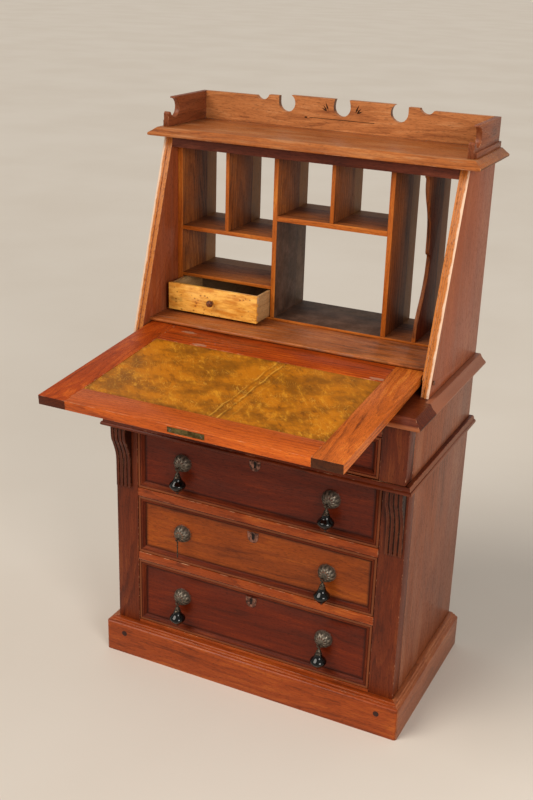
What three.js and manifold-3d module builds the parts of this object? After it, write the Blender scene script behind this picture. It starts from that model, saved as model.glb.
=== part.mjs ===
// Slant-front secretary desk in walnut, millimetres, +Z up, front towards -Y.
// Depths are measured from the back plane (y = 0) and the finished desk is then centred.
import * as THREE from "three";
import { mergeVertices } from "three/addons/utils/BufferGeometryUtils.js";
import Module from "manifold-3d";

const wasm = await Module();
wasm.setup();

// ---------------------------------------------------------------- driving dimensions
const gap = 0.3;                 // clearance between pieces that touch
const caseHalf = 338;            // outer half width of the carcase
const boardThick = 20;           // side boards
const lowerFront = 389;          // depth of the drawer front plane
const friezeFront = 418;         // depth of the front plane above the waist
const stileThick = 37.7;         // depth of the front stiles
const openingHalf = 283.5;       // half width of the drawer openings
const railThick = 20;            // rails between the drawers

const plinthHalf = 360;
const plinthFace = 74;           // height of the flat face of the plinth
const plinthTop = 84;
const plinthCorner = 7;          // radius of the plinth's upright corners
const sideFoot = 3;              // the case sides stop this far above the floor

const lowerDrawer = { bottom: 89.7, top: 248 };
const middleDrawer = { bottom: 268, top: 408 };
const upperDrawer = { bottom: 428, top: 576 };
const friezeDrawer = { bottom: 593.4, top: 683.4 };
const waistTop = 592.6;          // top of the waist moulding and its frame
const waistBottom = 576.3;
const waistSetBack = 8;          // the waist moulding stands out less at the front than at the sides
const friezeRailBottom = 684.4;  // rail over the frieze drawer
const friezeTop = 716.2;

const deskBottom = 716.5;        // desk board with its moulded edge
const deskTop = 738;
const deskSetBack = 6;

const slantTop = 1162.7;         // slant-fronted sides of the upper case
const slantKneeDepth = 307;      // depth of the front edge at the height of the pivot
const slantKneeHeight = 772;
const slantLean = 18.5 * Math.PI / 180;
const sideInner = caseHalf - boardThick;

const topBottom = 1163;          // top board with its moulded edge
const topTop = 1180;
const topFront = 178;            // depth of the case under the top board
const galleryTop = 1246.5;
const galleryThick = 12;
const galleryHalf = 341;
const galleryDepth = 176;

const ledgeFront = 278;          // fixed writing ledge behind the flap
const ledgeBottom = 777.3;
const ledgeTop = 785;
const nestFront = 156;           // depth of the pigeonhole nest
const nestBaseTop = 790.5;
const nestTop = 1162.7;
const shelfLeftTop = 966.6;
const shelfRightTop = 1014.8;
const drawerShelfTop = 860;
const nestDrawerOpen = 63;       // the small drawer stands this far open

const flapHalf = 313.5;          // fall flap, drawn about its pivot
const flapThick = 19;
const flapReach = 390;           // pivot to front edge
const flapTail = 23;             // pivot to rear edge
const flapStile = 60.5;
const flapFrontRail = 62;
const leatherLength = 271;
const lockPlace = 8;             // the flap's lock is a little right of the middle
const pivotDepth = 297;
const pivotHeight = 765.5;
const flapDroop = 4.7 * Math.PI / 180;
const pivotRadius = 3;

const pullHalf = 173;            // half spacing of the two pulls on a drawer
const plateRadius = 21;
const plateRise = 4;             // the domed plate is centred this far above its stud
const studRadius = 1.6;
const studReach = 25;            // the drop hangs this far in front of the drawer panel
const panelRecess = 8.5;         // drawer panel behind the face of its frame
const frameWidth = 15.5;         // applied moulding round each drawer panel

// ---------------------------------------------------------------- materials
function finish(color, roughness = 0.45, metalness = 0) {
  return new THREE.MeshStandardMaterial({ color, roughness, metalness, flatShading: true });
}
const walnut = finish(0x8a4527);
const walnutDark = finish(0x6d2f1a);
const walnutLight = finish(0xa8623a);
const maple = finish(0xdca552, 0.4);
const drawerWood = finish(0xb08a5c, 0.6);
const leather = finish(0x9c7426, 0.6);
const brass = finish(0x8a7a55, 0.4, 0.9);
const ebonised = finish(0x0c0b0c, 0.12);
const knobWood = finish(0x4e2414, 0.3);

// ---------------------------------------------------------------- geometry helpers
const desk = new THREE.Group();

function solid(geometry) {
  const bare = geometry.clone();
  bare.deleteAttribute("normal");
  bare.deleteAttribute("uv");
  const merged = mergeVertices(bare, 1e-4);
  return new wasm.Manifold(new wasm.Mesh({
    numProp: 3,
    vertProperties: new Float32Array(merged.attributes.position.array),
    triVerts: new Uint32Array(merged.index.array),
  }));
}

function geometryOf(body) {
  const mesh = body.getMesh();
  const geometry = new THREE.BufferGeometry();
  geometry.setAttribute("position", new THREE.BufferAttribute(new Float32Array(mesh.vertProperties), 3));
  geometry.setIndex(new THREE.BufferAttribute(new Uint32Array(mesh.triVerts), 1));
  geometry.computeVertexNormals();
  return geometry;
}

function place(name, material, body, parent = desk) {
  const mesh = new THREE.Mesh(geometryOf(body), material);
  mesh.name = name;
  parent.add(mesh);
  return mesh;
}

function block(x0, x1, y0, y1, z0, z1) {
  const geometry = new THREE.BoxGeometry(x1 - x0, y1 - y0, z1 - z0);
  geometry.translate((x0 + x1) / 2, (y0 + y1) / 2, (z0 + z1) / 2);
  return solid(geometry);
}

// Outline in (y, z), extruded along x.
function prismX(shape, x0, x1, curveSegments = 8) {
  const geometry = new THREE.ExtrudeGeometry(shape, { depth: x1 - x0, bevelEnabled: false, curveSegments });
  geometry.applyMatrix4(new THREE.Matrix4().set(0, 0, 1, x0, 1, 0, 0, 0, 0, 1, 0, 0, 0, 0, 0, 1));
  return solid(geometry);
}

// Outline in (x, z), extruded along y.
function prismY(shape, y0, y1, curveSegments = 8) {
  const geometry = new THREE.ExtrudeGeometry(shape, { depth: y1 - y0, bevelEnabled: false, curveSegments });
  geometry.applyMatrix4(new THREE.Matrix4().set(1, 0, 0, 0, 0, 0, -1, y1, 0, 1, 0, 0, 0, 0, 0, 1));
  return solid(geometry);
}

// Outline in (x, y), extruded along z.
function prismZ(shape, z0, z1, curveSegments = 8) {
  const geometry = new THREE.ExtrudeGeometry(shape, { depth: z1 - z0, bevelEnabled: false, curveSegments });
  geometry.translate(0, 0, z0);
  return solid(geometry);
}

function polygon(points) {
  return new THREE.Shape(points.map(([a, b]) => new THREE.Vector2(a, b)));
}

function rodX(radius, x0, x1, y, z, segments = 16) {
  const geometry = new THREE.CylinderGeometry(radius, radius, x1 - x0, segments);
  geometry.rotateZ(Math.PI / 2);
  geometry.translate((x0 + x1) / 2, y, z);
  return solid(geometry);
}

function rodY(radius, y0, y1, x, z, segments = 16) {
  const geometry = new THREE.CylinderGeometry(radius, radius, y1 - y0, segments);
  geometry.translate(x, (y0 + y1) / 2, 0);
  geometry.translate(0, 0, z);
  return solid(geometry);
}

// Closed mesh through rings of equal point count; "caps" closes the first and last ring.
function loft(rings, caps) {
  const count = rings[0].length;
  const positions = rings.flat(2);
  const triangles = [];
  const last = caps ? rings.length - 1 : rings.length;
  for (let r = 0; r < last; r += 1) {
    const a = r * count;
    const b = ((r + 1) % rings.length) * count;
    for (let i = 0; i < count; i += 1) {
      const j = (i + 1) % count;
      triangles.push(a + i, a + j, b + j, a + i, b + j, b + i);
    }
  }
  if (caps) {
    const flat = rings[0].map(([x, y, z]) => new THREE.Vector3(x, y, z));
    for (const [i, j, k] of capTriangles(flat)) {
      triangles.push(i, k, j);
      const top = (rings.length - 1) * count;
      triangles.push(top + i, top + j, top + k);
    }
  }
  const geometry = new THREE.BufferGeometry();
  geometry.setAttribute("position", new THREE.BufferAttribute(new Float32Array(positions), 3));
  geometry.setIndex(triangles);
  const volume = signedVolume(positions, triangles);
  if (volume < 0) {
    geometry.setIndex(triangles.reverse());
  }
  return solid(geometry);
}

// Triangles of a flat ring, seen in the plane in which it is largest.
function capTriangles(points) {
  const normal = new THREE.Vector3();
  for (let i = 0; i < points.length; i += 1) {
    normal.add(points[i].clone().cross(points[(i + 1) % points.length]));
  }
  const axis = new THREE.Vector3(0, 0, 1);
  const turn = new THREE.Quaternion().setFromUnitVectors(normal.clone().normalize(), axis);
  const flat = points.map((point) => {
    const turned = point.clone().applyQuaternion(turn);
    return new THREE.Vector2(turned.x, turned.y);
  });
  return THREE.ShapeUtils.triangulateShape(flat, []);
}

function signedVolume(positions, triangles) {
  const corner = (i) => new THREE.Vector3().fromArray(positions, 3 * i);
  let volume = 0;
  for (let t = 0; t < triangles.length; t += 3) {
    volume += corner(triangles[t]).dot(corner(triangles[t + 1]).cross(corner(triangles[t + 2])));
  }
  return volume;
}

// Board whose front and side edges follow a profile of [height, reach] steps.
function mouldedBoard(levels, half, front) {
  const rings = levels.map(([z, out]) => [
    [-half - out, 0, z], [-half - out, -front - out, z], [half + out, -front - out, z], [half + out, 0, z],
  ]);
  return loft(rings, true);
}

// One run of moulding with 45 degree ends: "front", "left" or "right".
function mitredRun(run, profile, half, front) {
  const slack = run === "front" ? 0 : 2 * gap;
  const start = [];
  const end = [];
  for (const [out, z] of profile) {
    const x = half + out;
    const y = -front - out;
    if (run === "front") {
      start.push([-x, y, z]);
      end.push([x, y, z]);
    } else {
      const side = run === "left" ? -1 : 1;
      start.push([side * x, 0, z]);
      end.push([side * x, y + slack, z]);
    }
  }
  return loft([start, end], true);
}

// Rectangular frame of moulding standing on a panel; profile steps are [inset, height].
function frameRing(profile, x0, x1, z0, z1, panelDepth) {
  const rings = profile.map(([inset, height]) => [
    [x0 + inset, -panelDepth - height, z0 + inset],
    [x1 - inset, -panelDepth - height, z0 + inset],
    [x1 - inset, -panelDepth - height, z1 - inset],
    [x0 + inset, -panelDepth - height, z1 - inset],
  ]);
  return loft(rings, false);
}

function bothSides(make) {
  make("left", -1);
  make("right", 1);
}

function span(side, inner, outer) {
  return side < 0 ? [-outer, -inner] : [inner, outer];
}

// ---------------------------------------------------------------- plinth
function makePlinth() {
  const inner = gap;
  const outer = plinthHalf - caseHalf;
  const profile = [
    [inner, 0], [outer, 0], [outer, plinthFace], [outer - 3, plinthFace + 2.6], [outer - 6, plinthFace + 3.2],
    [outer - 7, plinthFace + 5.6], [outer - 11, plinthFace + 6.6], [outer - 12, plinthFace + 8.6],
    [inner + 3, plinthTop], [inner, plinthTop],
  ];
  const footprint = new THREE.Shape();
  const front = lowerFront + outer;
  footprint.moveTo(-plinthHalf, 10);
  footprint.lineTo(-plinthHalf, -front + plinthCorner);
  footprint.absarc(-plinthHalf + plinthCorner, -front + plinthCorner, plinthCorner, Math.PI, 1.5 * Math.PI);
  const corner = [plinthHalf - plinthCorner, -front + plinthCorner];
  footprint.absarc(...corner, plinthCorner, 1.5 * Math.PI, 2 * Math.PI);
  footprint.lineTo(plinthHalf, 10);
  const rounded = prismZ(footprint, -5, plinthTop + 5, 6);
  for (const run of ["front", "left", "right"]) {
    place(`plinth_${run}`, walnut, mitredRun(run, profile, caseHalf, lowerFront).intersect(rounded));
  }
}

// ---------------------------------------------------------------- carcase
function makeCarcase() {
  const stileBack = -lowerFront + stileThick;
  const friezeBack = -friezeFront + stileThick;
  bothSides((word, side) => {
    const outline = polygon([
      [0, sideFoot], [stileBack + gap, sideFoot], [stileBack + gap, waistBottom],
      [friezeBack + gap, waistBottom], [friezeBack + gap, friezeTop], [0, friezeTop],
    ]);
    const [x0, x1] = span(side, sideInner, caseHalf);
    place(`lower_side_${word}`, walnutLight, prismX(outline, x0, x1));
    const [s0, s1] = span(side, openingHalf, caseHalf);
    place(`stile_${word}`, walnut, block(s0, s1, -lowerFront, stileBack, sideFoot, waistBottom - gap));
    const topStile = block(s0, s1, -friezeFront, friezeBack, waistTop + gap, friezeTop);
    place(`frieze_stile_${word}`, walnut, topStile);
    makeCorbel(word, side);
  });
  place("lower_back", walnutDark, block(-sideInner + gap, sideInner - gap, -8, 0, sideFoot, friezeTop));
}

// Bracket with four reeds that carries the overhanging frieze.
function makeCorbel(word, side) {
  const [x0, x1] = span(side, 298, 334);
  const foot = 424;
  const reedWidth = 6.6;
  const reedStep = 9.6;
  const sideProfile = (lift) => {
    const shape = new THREE.Shape();
    const face = -lowerFront - 5 - lift;
    const nose = -lowerFront - 25 - lift;
    const top = waistBottom - gap;
    shape.moveTo(-lowerFront - gap, foot + 3 * (3 - lift));
    shape.lineTo(face, foot + 3 * (3 - lift));
    shape.lineTo(face, foot + 58);
    shape.bezierCurveTo(face, foot + 82, face - 6, foot + 92, nose + 6, foot + 112);
    shape.quadraticCurveTo(nose, foot + 118, nose, top - 8);
    shape.lineTo(nose, top);
    shape.lineTo(-lowerFront - gap, top);
    return shape;
  };
  let body = prismX(sideProfile(0), x0, x1, 5);
  for (let i = 0; i < 4; i += 1) {
    const start = x0 + 0.3 + i * reedStep;
    body = body.add(prismX(sideProfile(2.5), start, start + reedWidth, 5));
  }
  place(`corbel_${word}`, walnut, body);
}

// Board under a drawer: its front edge shows between the stiles.
function dustBoard(name, bottom, top, frontDepth, throughFront) {
  const stileBack = -lowerFront + stileThick;
  const innerHalf = sideInner - gap;
  const faceHalf = throughFront ? innerHalf : openingHalf - gap;
  const behind = block(-innerHalf, innerHalf, stileBack + gap, -8 - gap, bottom, top);
  const face = block(-faceHalf, faceHalf, -frontDepth, stileBack + 2 * gap, bottom, top);
  place(name, walnut, behind.add(face));
}

function makeDustBoards() {
  dustBoard("bottom_board", lowerDrawer.bottom - railThick, lowerDrawer.bottom - 0.4, lowerFront, false);
  dustBoard("drawer_divider_lower", lowerDrawer.top, middleDrawer.bottom - 0.4, lowerFront, false);
  dustBoard("drawer_divider_upper", middleDrawer.top, upperDrawer.bottom - 0.4, lowerFront, false);
  dustBoard("waist_board", waistBottom, waistTop, friezeFront - gap, true);
}

// ---------------------------------------------------------------- waist and desk mouldings
function makeWaist() {
  const profile = [
    [gap, waistBottom + 0.5], [14.4, waistBottom + 0.5], [16, waistBottom + 2], [16, waistBottom + 5.4],
    [14.6, waistBottom + 7.6], [12, waistBottom + 8.4], [11.4, waistTop - 3.4], [9, waistTop], [gap, waistTop],
  ];
  const front = friezeFront - waistSetBack;
  let body = mitredRun("front", profile, caseHalf, front);
  for (const run of ["left", "right"]) {
    body = body.add(mitredRun(run, profile, caseHalf, front).translate(0, -2 * gap, 0));
  }
  const inside = block(-caseHalf - gap, caseHalf + gap, -friezeFront - gap, 20, 500, waistTop + 5);
  const behind = block(-2 * caseHalf, 2 * caseHalf, 0, 20, 500, waistTop + 5);
  place("waist_moulding", walnut, body.subtract(inside).subtract(behind));
}

function makeDeskBoard() {
  const levels = [
    [deskBottom, 22.6], [deskBottom + 1.4, 24.2], [deskBottom + 4, 24.4], [deskBottom + 6.6, 22.6],
    [deskBottom + 11, 17.6], [deskBottom + 15.4, 14.2], [deskBottom + 18.6, 12.8], [deskTop - 1, 11.6],
    [deskTop, 10.4],
  ];
  // The rail over the frieze drawer is fixed under the board, between the stiles.
  const half = openingHalf - gap;
  const railBack = -friezeFront + stileThick;
  const rail = block(-half, half, -friezeFront, railBack, friezeRailBottom, deskBottom + 2);
  place("desk_board", walnut, mouldedBoard(levels, caseHalf, friezeFront - deskSetBack).add(rail));
}

// ---------------------------------------------------------------- upper case
function slantDepth(z) {
  return slantKneeDepth - (z - slantKneeHeight) * Math.tan(slantLean);
}

function makeSlantSides() {
  const bottom = deskTop + gap;
  const outline = polygon([
    [0, bottom], [-slantDepth(bottom), bottom], [-slantDepth(slantTop), slantTop], [0, slantTop],
  ]);
  const grooveDepth = 3;
  const groove = (depth) => polygon([
    [-slantDepth(bottom) - 5 + depth, bottom - 1], [-slantDepth(bottom) - 5, bottom - 1],
    [-slantDepth(slantTop) - 5, slantTop + 1], [-slantDepth(slantTop) - 5 + depth, slantTop + 1],
  ]);
  bothSides((word, side) => {
    const [x0, x1] = span(side, sideInner, caseHalf);
    const [g0, g1] = span(side, sideInner + 4.5, sideInner + 10.5);
    const [b0, b1] = span(side, sideInner - 1, sideInner + 4.6);
    let body = prismX(outline, x0, x1);
    body = body.subtract(prismX(groove(5 + grooveDepth), g0, g1));
    body = body.subtract(prismX(groove(5 + 1.2), b0, b1));
    const inner = side * (sideInner - 1);
    const relief = polygon([[inner, -400], [inner, -292], [side * (caseHalf - 2), -400]]);
    body = body.subtract(prismZ(relief, bottom - 1, slantKneeHeight - 2));
    body = body.subtract(rodX(pivotRadius + gap, x0 - 1, x1 + 1, -pivotDepth, pivotHeight));
    place(`slant_side_${word}`, walnutLight, body);
  });
}

function makeTop() {
  const levels = [
    [topBottom, 25], [topBottom + 1.2, 27], [topBottom + 4.6, 27.4], [topBottom + 6.4, 25.8],
    [topBottom + 10, 20.4], [topBottom + 13.4, 16], [topBottom + 15.6, 13], [topTop, 11],
  ];
  const board = mouldedBoard(levels, caseHalf, topFront);
  place("top_board", walnutLight, board);
  const rail = block(-sideInner + gap, sideInner - gap, -180, -158, 1139.5, slantTop);
  const keeper = block(lockPlace - 11.5, lockPlace + 11.5, -177.5, -167, 1139, 1143.5);
  place("top_rail", walnut, rail.subtract(keeper));
}

// ---------------------------------------------------------------- gallery
const notchRadius = 19.5;
const notchDrop = 16.5;          // centre of a notch below the crest
const outerNotch = 129;          // distance of the outer notches from the middle
const lipReach = 10;             // the crest overhangs an outer notch on its inner side
const scallopReach = 15.5;
const scallopCentre = 188;
const shoulderDrop = 3;          // crest to the short lengths outside the outer notches
const endDrop = 6.5;             // crest to the long ends

function galleryOutline() {
  const shape = new THREE.Shape();
  const foot = topTop + gap;
  const notchCentre = galleryTop - notchDrop;
  const half = galleryHalf - galleryThick - gap;
  const shoulder = galleryTop - shoulderDrop;
  const end = galleryTop - endDrop;
  const centreLip = 16.5;
  const turn = Math.PI / 7;
  shape.moveTo(-half, foot);
  shape.lineTo(half, foot);
  shape.lineTo(half, end);
  shape.lineTo(scallopCentre + scallopReach, end);
  shape.quadraticCurveTo(scallopCentre + 8, end - 10, scallopCentre - 2, end - 8);
  shape.quadraticCurveTo(scallopCentre - 13, end - 5, scallopCentre - scallopReach, shoulder);
  shape.lineTo(outerNotch + notchRadius, shoulder);
  shape.lineTo(outerNotch + notchRadius, notchCentre);
  shape.absarc(outerNotch, notchCentre, notchRadius, 0, -Math.PI - turn, true);
  shape.quadraticCurveTo(outerNotch - notchRadius + 4, galleryTop - 3, outerNotch - lipReach, galleryTop);
  shape.lineTo(centreLip, galleryTop);
  shape.quadraticCurveTo(notchRadius, notchCentre + 7, notchRadius, notchCentre);
  shape.absarc(0, notchCentre, notchRadius, 0, -Math.PI, true);
  shape.quadraticCurveTo(-notchRadius, notchCentre + 7, -centreLip, galleryTop);
  shape.lineTo(-outerNotch + lipReach, galleryTop);
  shape.quadraticCurveTo(-outerNotch + notchRadius - 4, galleryTop - 3,
    -outerNotch + notchRadius * Math.cos(turn), notchCentre + notchRadius * Math.sin(turn));
  shape.absarc(-outerNotch, notchCentre, notchRadius, turn, -Math.PI, true);
  shape.lineTo(-outerNotch - notchRadius, shoulder);
  shape.lineTo(-scallopCentre + scallopReach, shoulder);
  shape.quadraticCurveTo(-scallopCentre + 13, end - 5, -scallopCentre + 2, end - 8);
  shape.quadraticCurveTo(-scallopCentre - 8, end - 10, -scallopCentre - scallopReach, end);
  shape.lineTo(-half, end);
  return shape;
}

// Short tapering cut carved into the front of the gallery board; degrees above the +X direction.
function carvedCut(x, z, length, width, degrees) {
  const cut = polygon([[0, 0], [0.35 * length, -width / 2], [length, 0], [0.35 * length, width / 2]]);
  const depth = 1.6;
  const body = prismY(cut, -galleryThick - 1, -galleryThick + depth);
  return body.rotate(0, -degrees, 0).translate(x, 0, z);
}

function makeGallery() {
  let back = prismY(galleryOutline(), -galleryThick, 0, 6);
  const cuts = [[31, 1221, 20, 4, 67], [34.5, 1221.5, 14.5, 3.4, 49], [33.5, 1220, 15.6, 4, 24]];
  for (const [x, z, length, width, degrees] of cuts) {
    back = back.subtract(carvedCut(x, z, length, width, degrees));
    back = back.subtract(carvedCut(-x, z, length, width, 180 - degrees));
  }
  const lineHeight = 1203;
  const groove = [-galleryThick - 1, -galleryThick + 1];
  back = back.subtract(block(-75, 75, ...groove, lineHeight, lineHeight + 1.4));
  back = back.subtract(block(-86, -80, ...groove, lineHeight - 1.4, lineHeight + 2));
  place("gallery_back", walnut, back);

  const foot = topTop + gap;
  const end = galleryTop - endDrop;
  const outline = new THREE.Shape();
  outline.moveTo(0, foot);
  outline.lineTo(0, end);
  outline.lineTo(-149, end);
  outline.lineTo(-150, end - 3.4);
  outline.absarc(-149, foot + 37, notchRadius, Math.PI / 2, -0.87 * Math.PI, true);
  outline.lineTo(-170, foot + 30.6);
  outline.lineTo(-galleryDepth + 3, foot + 30.6);
  outline.lineTo(-galleryDepth, foot + 27);
  outline.lineTo(-galleryDepth, foot);
  bothSides((word, side) => {
    const [x0, x1] = span(side, galleryHalf - galleryThick, galleryHalf);
    const [f0, f1] = span(side, galleryHalf - 2, galleryHalf + 5);
    const strip = block(f0, f1, -galleryDepth + 6, 0, foot, foot + 12);
    place(`gallery_${word}`, walnut, prismX(outline, x0, x1, 6).add(strip));
  });
}

// ---------------------------------------------------------------- ledge and pigeonhole nest
function makeLedge() {
  const middle = (ledgeBottom + ledgeTop) / 2;
  const radius = (ledgeTop - ledgeBottom) / 2;
  const outline = new THREE.Shape();
  outline.moveTo(0, ledgeBottom);
  outline.lineTo(0, ledgeTop);
  outline.lineTo(-ledgeFront + radius, ledgeTop);
  outline.absarc(-ledgeFront + radius, middle, radius, Math.PI / 2, 1.5 * Math.PI);
  const half = sideInner - gap;
  let ledge = prismX(outline, -half, half, 6);
  const cleatDrop = 20;
  ledge = ledge.add(block(-half, half, -10, 0, deskTop + gap, ledgeTop - 1));
  ledge = ledge.add(block(-half, -half + 18, -240, -5, ledgeBottom - cleatDrop, ledgeTop - 1));
  ledge = ledge.add(block(half - 18, half, -240, -5, ledgeBottom - cleatDrop, ledgeTop - 1));
  place("writing_ledge", walnut, ledge);
}

const nestLeft = -306;           // faces of the upright boards of the nest
const partitionLeft = [-86, -76];
const partitionRight = [172, 182.3];

function makeNest() {
  const half = sideInner - gap;
  const foot = nestBaseTop + gap;
  const front = -nestFront;
  place("nest_base", walnutLight, block(-half, half, front - 1, -1, ledgeTop + gap, nestBaseTop));
  place("nest_side_left", walnutDark, block(-half, nestLeft, front, -1, foot, nestTop));
  place("partition_left", walnutLight, block(...partitionLeft, front, -1, foot, nestTop));
  place("partition_right", walnutLight, block(...partitionRight, front, -1, foot, nestTop));

  const bayLeft = [nestLeft + gap, partitionLeft[0] - gap];
  const bayRight = [partitionLeft[1] + gap, partitionRight[0] - gap];
  place("letter_shelf_left", walnutLight, block(...bayLeft, front, -1, shelfLeftTop - 9, shelfLeftTop));
  place("letter_shelf_right", walnutLight, block(...bayRight, front, -1, shelfRightTop - 11, shelfRightTop));
  place("drawer_shelf", walnutLight, block(...bayLeft, front, -1, drawerShelfTop - 7, drawerShelfTop));
  place("letter_divider_left", walnutLight, block(-200, -191.7, front, -1, shelfLeftTop + gap, nestTop));
  place("letter_divider_right", walnutLight, block(44.5, 52.7, front, -1, shelfRightTop + gap, nestTop));

  const scallop = new THREE.Shape();
  scallop.moveTo(-1, foot);
  scallop.lineTo(-nestFront, foot);
  scallop.bezierCurveTo(-150, 870, -110, 860, -101, 958);
  scallop.quadraticCurveTo(-101, 966, -107, 966);
  scallop.quadraticCurveTo(-113, 968, -112, 978);
  scallop.bezierCurveTo(-110, 1060, -128, 1060, -142, 1100);
  scallop.quadraticCurveTo(-146, 1112, -145, 1123);
  scallop.quadraticCurveTo(-145, 1129, -149, 1130);
  scallop.quadraticCurveTo(-153, 1131, -153, 1137);
  scallop.lineTo(-153, nestTop);
  scallop.lineTo(-1, nestTop);
  place("ledger_divider", walnutDark, prismX(scallop, 241, 249.3, 8));
}

function makeNestDrawer() {
  const x0 = nestLeft + 1.4;
  const x1 = partitionLeft[0] - 1.4;
  const bottom = nestBaseTop + 1.2;
  const top = drawerShelfTop - 7 - 1.4;
  const face = -nestFront - nestDrawerOpen;
  const faceThick = 9;
  place("nest_drawer_front", maple, block(x0, x1, face, face + faceThick, bottom, top));
  const back = face + nestFront - 10;
  let box = block(x0 + 1, x1 - 1, face + faceThick + gap, back, bottom, top - 2);
  box = box.subtract(block(x0 + 7, x1 - 7, face + faceThick + 6, back - 6, bottom + 5, top + 5));
  place("nest_drawer_box", drawerWood, box);
  const knob = new THREE.LatheGeometry([
    [0, 0], [4.2, 0], [3, 3], [3.2, 5], [6.8, 7.5], [8, 10.5], [6.6, 13.6], [3, 15], [0, 15.2],
  ].map(([r, h]) => new THREE.Vector2(r, h)), 16);
  knob.rotateX(Math.PI);
  knob.translate((x0 + x1) / 2, face - gap, (bottom + top) / 2);
  place("nest_drawer_knob", knobWood, solid(knob));
}

// ---------------------------------------------------------------- large drawers
function makeDrawer(name, opening, frontDepth, pullHeight, pullSize) {
  const clear = 1.2;
  const x1 = openingHalf - clear;
  const z0 = opening.bottom + clear;
  const z1 = opening.top - clear;
  const panel = frontDepth - panelRecess;
  const frame = [
    [0, -8], [0, panelRecess - 1], [1, panelRecess], [4.6, panelRecess], [5.4, panelRecess - 2],
    [6.6, panelRecess - 2], [7.4, panelRecess - 0.6], [9.6, panelRecess - 0.8], [11, panelRecess - 3],
    [14, 1.6], [frameWidth, 1], [frameWidth, -8],
  ];
  let body = block(-x1 + 0.2, x1 - 0.2, -panel, -panel + 15, z0 + 0.2, z1 - 0.2);
  body = body.add(frameRing(frame, -x1, x1, z0, z1, panel));
  const boxHalf = openingHalf - 3.5;
  const boxFront = -panel + 14;
  const boxBack = -22;
  const boxTop = z1 - 14;
  let box = block(-boxHalf, boxHalf, boxFront, boxBack, opening.bottom + 0.5, boxTop);
  const well = block(-boxHalf + 12, boxHalf - 12, boxFront + 1, boxBack - 12, opening.bottom + 8.5, z1);
  box = box.subtract(well.translate(0, 0.5, 0));
  body = body.add(box);
  for (const x of [-pullHalf, pullHalf]) {
    body = body.add(pullPlate(pullSize).translate(x, -panel, pullHeight + plateRise * pullSize));
    body = body.add(rodY(studRadius, -panel - studReach - 3, -panel, x, pullHeight, 8));
    body = body.add(rodY(3, -panel - studReach - 5, -panel - studReach - 2.6, x, pullHeight, 8));
  }
  place(name, walnutDark, body);
}

// Deep domed plate behind a pull.
function pullPlate(size) {
  const profile = [
    [0, -1], [plateRadius, -1], [plateRadius, 2], [18.6, 4.4], [17.4, 8], [14.2, 13.4], [9, 17.6], [3.4, 19.4],
    [0, 19.8],
  ].map(([r, h]) => new THREE.Vector2(size * r, size * h));
  const dome = new THREE.LatheGeometry(profile, 20);
  dome.rotateX(Math.PI);
  return solid(dome);
}

// Wire eye whose upper wire rests on the stud; the pivot is the middle of that wire.
function wireEye(radius, wire) {
  const eye = new THREE.TorusGeometry(radius, wire, 6, 14);
  eye.rotateX(Math.PI / 2);
  eye.translate(0, 0, -radius);
  return solid(eye);
}

// Turned drop with the wire eye that it hangs by.
function makeDrop(name, x, depth, z, size) {
  const eyeRadius = 4.7;
  const wire = 1.1;
  const profile = [
    [0, -63], [1.8, -62.6], [3, -61], [2.8, -59.6], [7, -58], [12.4, -54.6], [16.6, -50], [18.2, -45],
    [17, -40.4], [13, -35.6], [9.4, -31.6], [7.6, -28], [8.2, -25.6], [7, -21.6], [5, -19], [5.6, -16.8],
    [3, -13.8], [2.2, -10], [0, -9],
  ].map(([r, h]) => new THREE.Vector2(size * r, -9 + size * (h + 9)));
  const turned = new THREE.LatheGeometry(profile, 14);
  turned.rotateX(Math.PI / 2);
  const body = solid(turned).add(wireEye(eyeRadius, wire));
  place(name, ebonised, body.translate(x, -depth, z + studRadius + gap + wire));
}

// Bare wire left where one drop has been lost.
function makeWire(name, x, depth, z) {
  const eyeRadius = 4.7;
  const wire = 0.8;
  const leg = new THREE.CylinderGeometry(1.4, 1.4, 39, 8);
  leg.rotateX(Math.PI / 2);
  leg.translate(0, 0, -28.5);
  const body = wireEye(eyeRadius, wire).add(solid(leg));
  place(name, brass, body.translate(x, -depth, z + studRadius + gap + wire));
}

function makeDrawers() {
  const rows = [
    { word: "frieze", opening: friezeDrawer, depth: friezeFront, pull: 645, size: 0.75 },
    { word: "upper", opening: upperDrawer, depth: lowerFront, pull: 506, size: 1 },
    { word: "middle", opening: middleDrawer, depth: lowerFront, pull: 335, size: 1 },
    { word: "lower", opening: lowerDrawer, depth: lowerFront, pull: 174, size: 1 },
  ];
  for (const row of rows) {
    makeDrawer(`drawer_${row.word}`, row.opening, row.depth, row.pull, row.size);
    const hang = row.depth - panelRecess + studReach;
    bothSides((word, side) => {
      if (row.word === "middle" && word === "left") {
        makeWire("wire_middle_left", side * pullHalf, hang, row.pull);
      } else {
        makeDrop(`drop_${row.word}_${word}`, side * pullHalf, hang, row.pull, row.size);
      }
    });
  }
}

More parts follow.
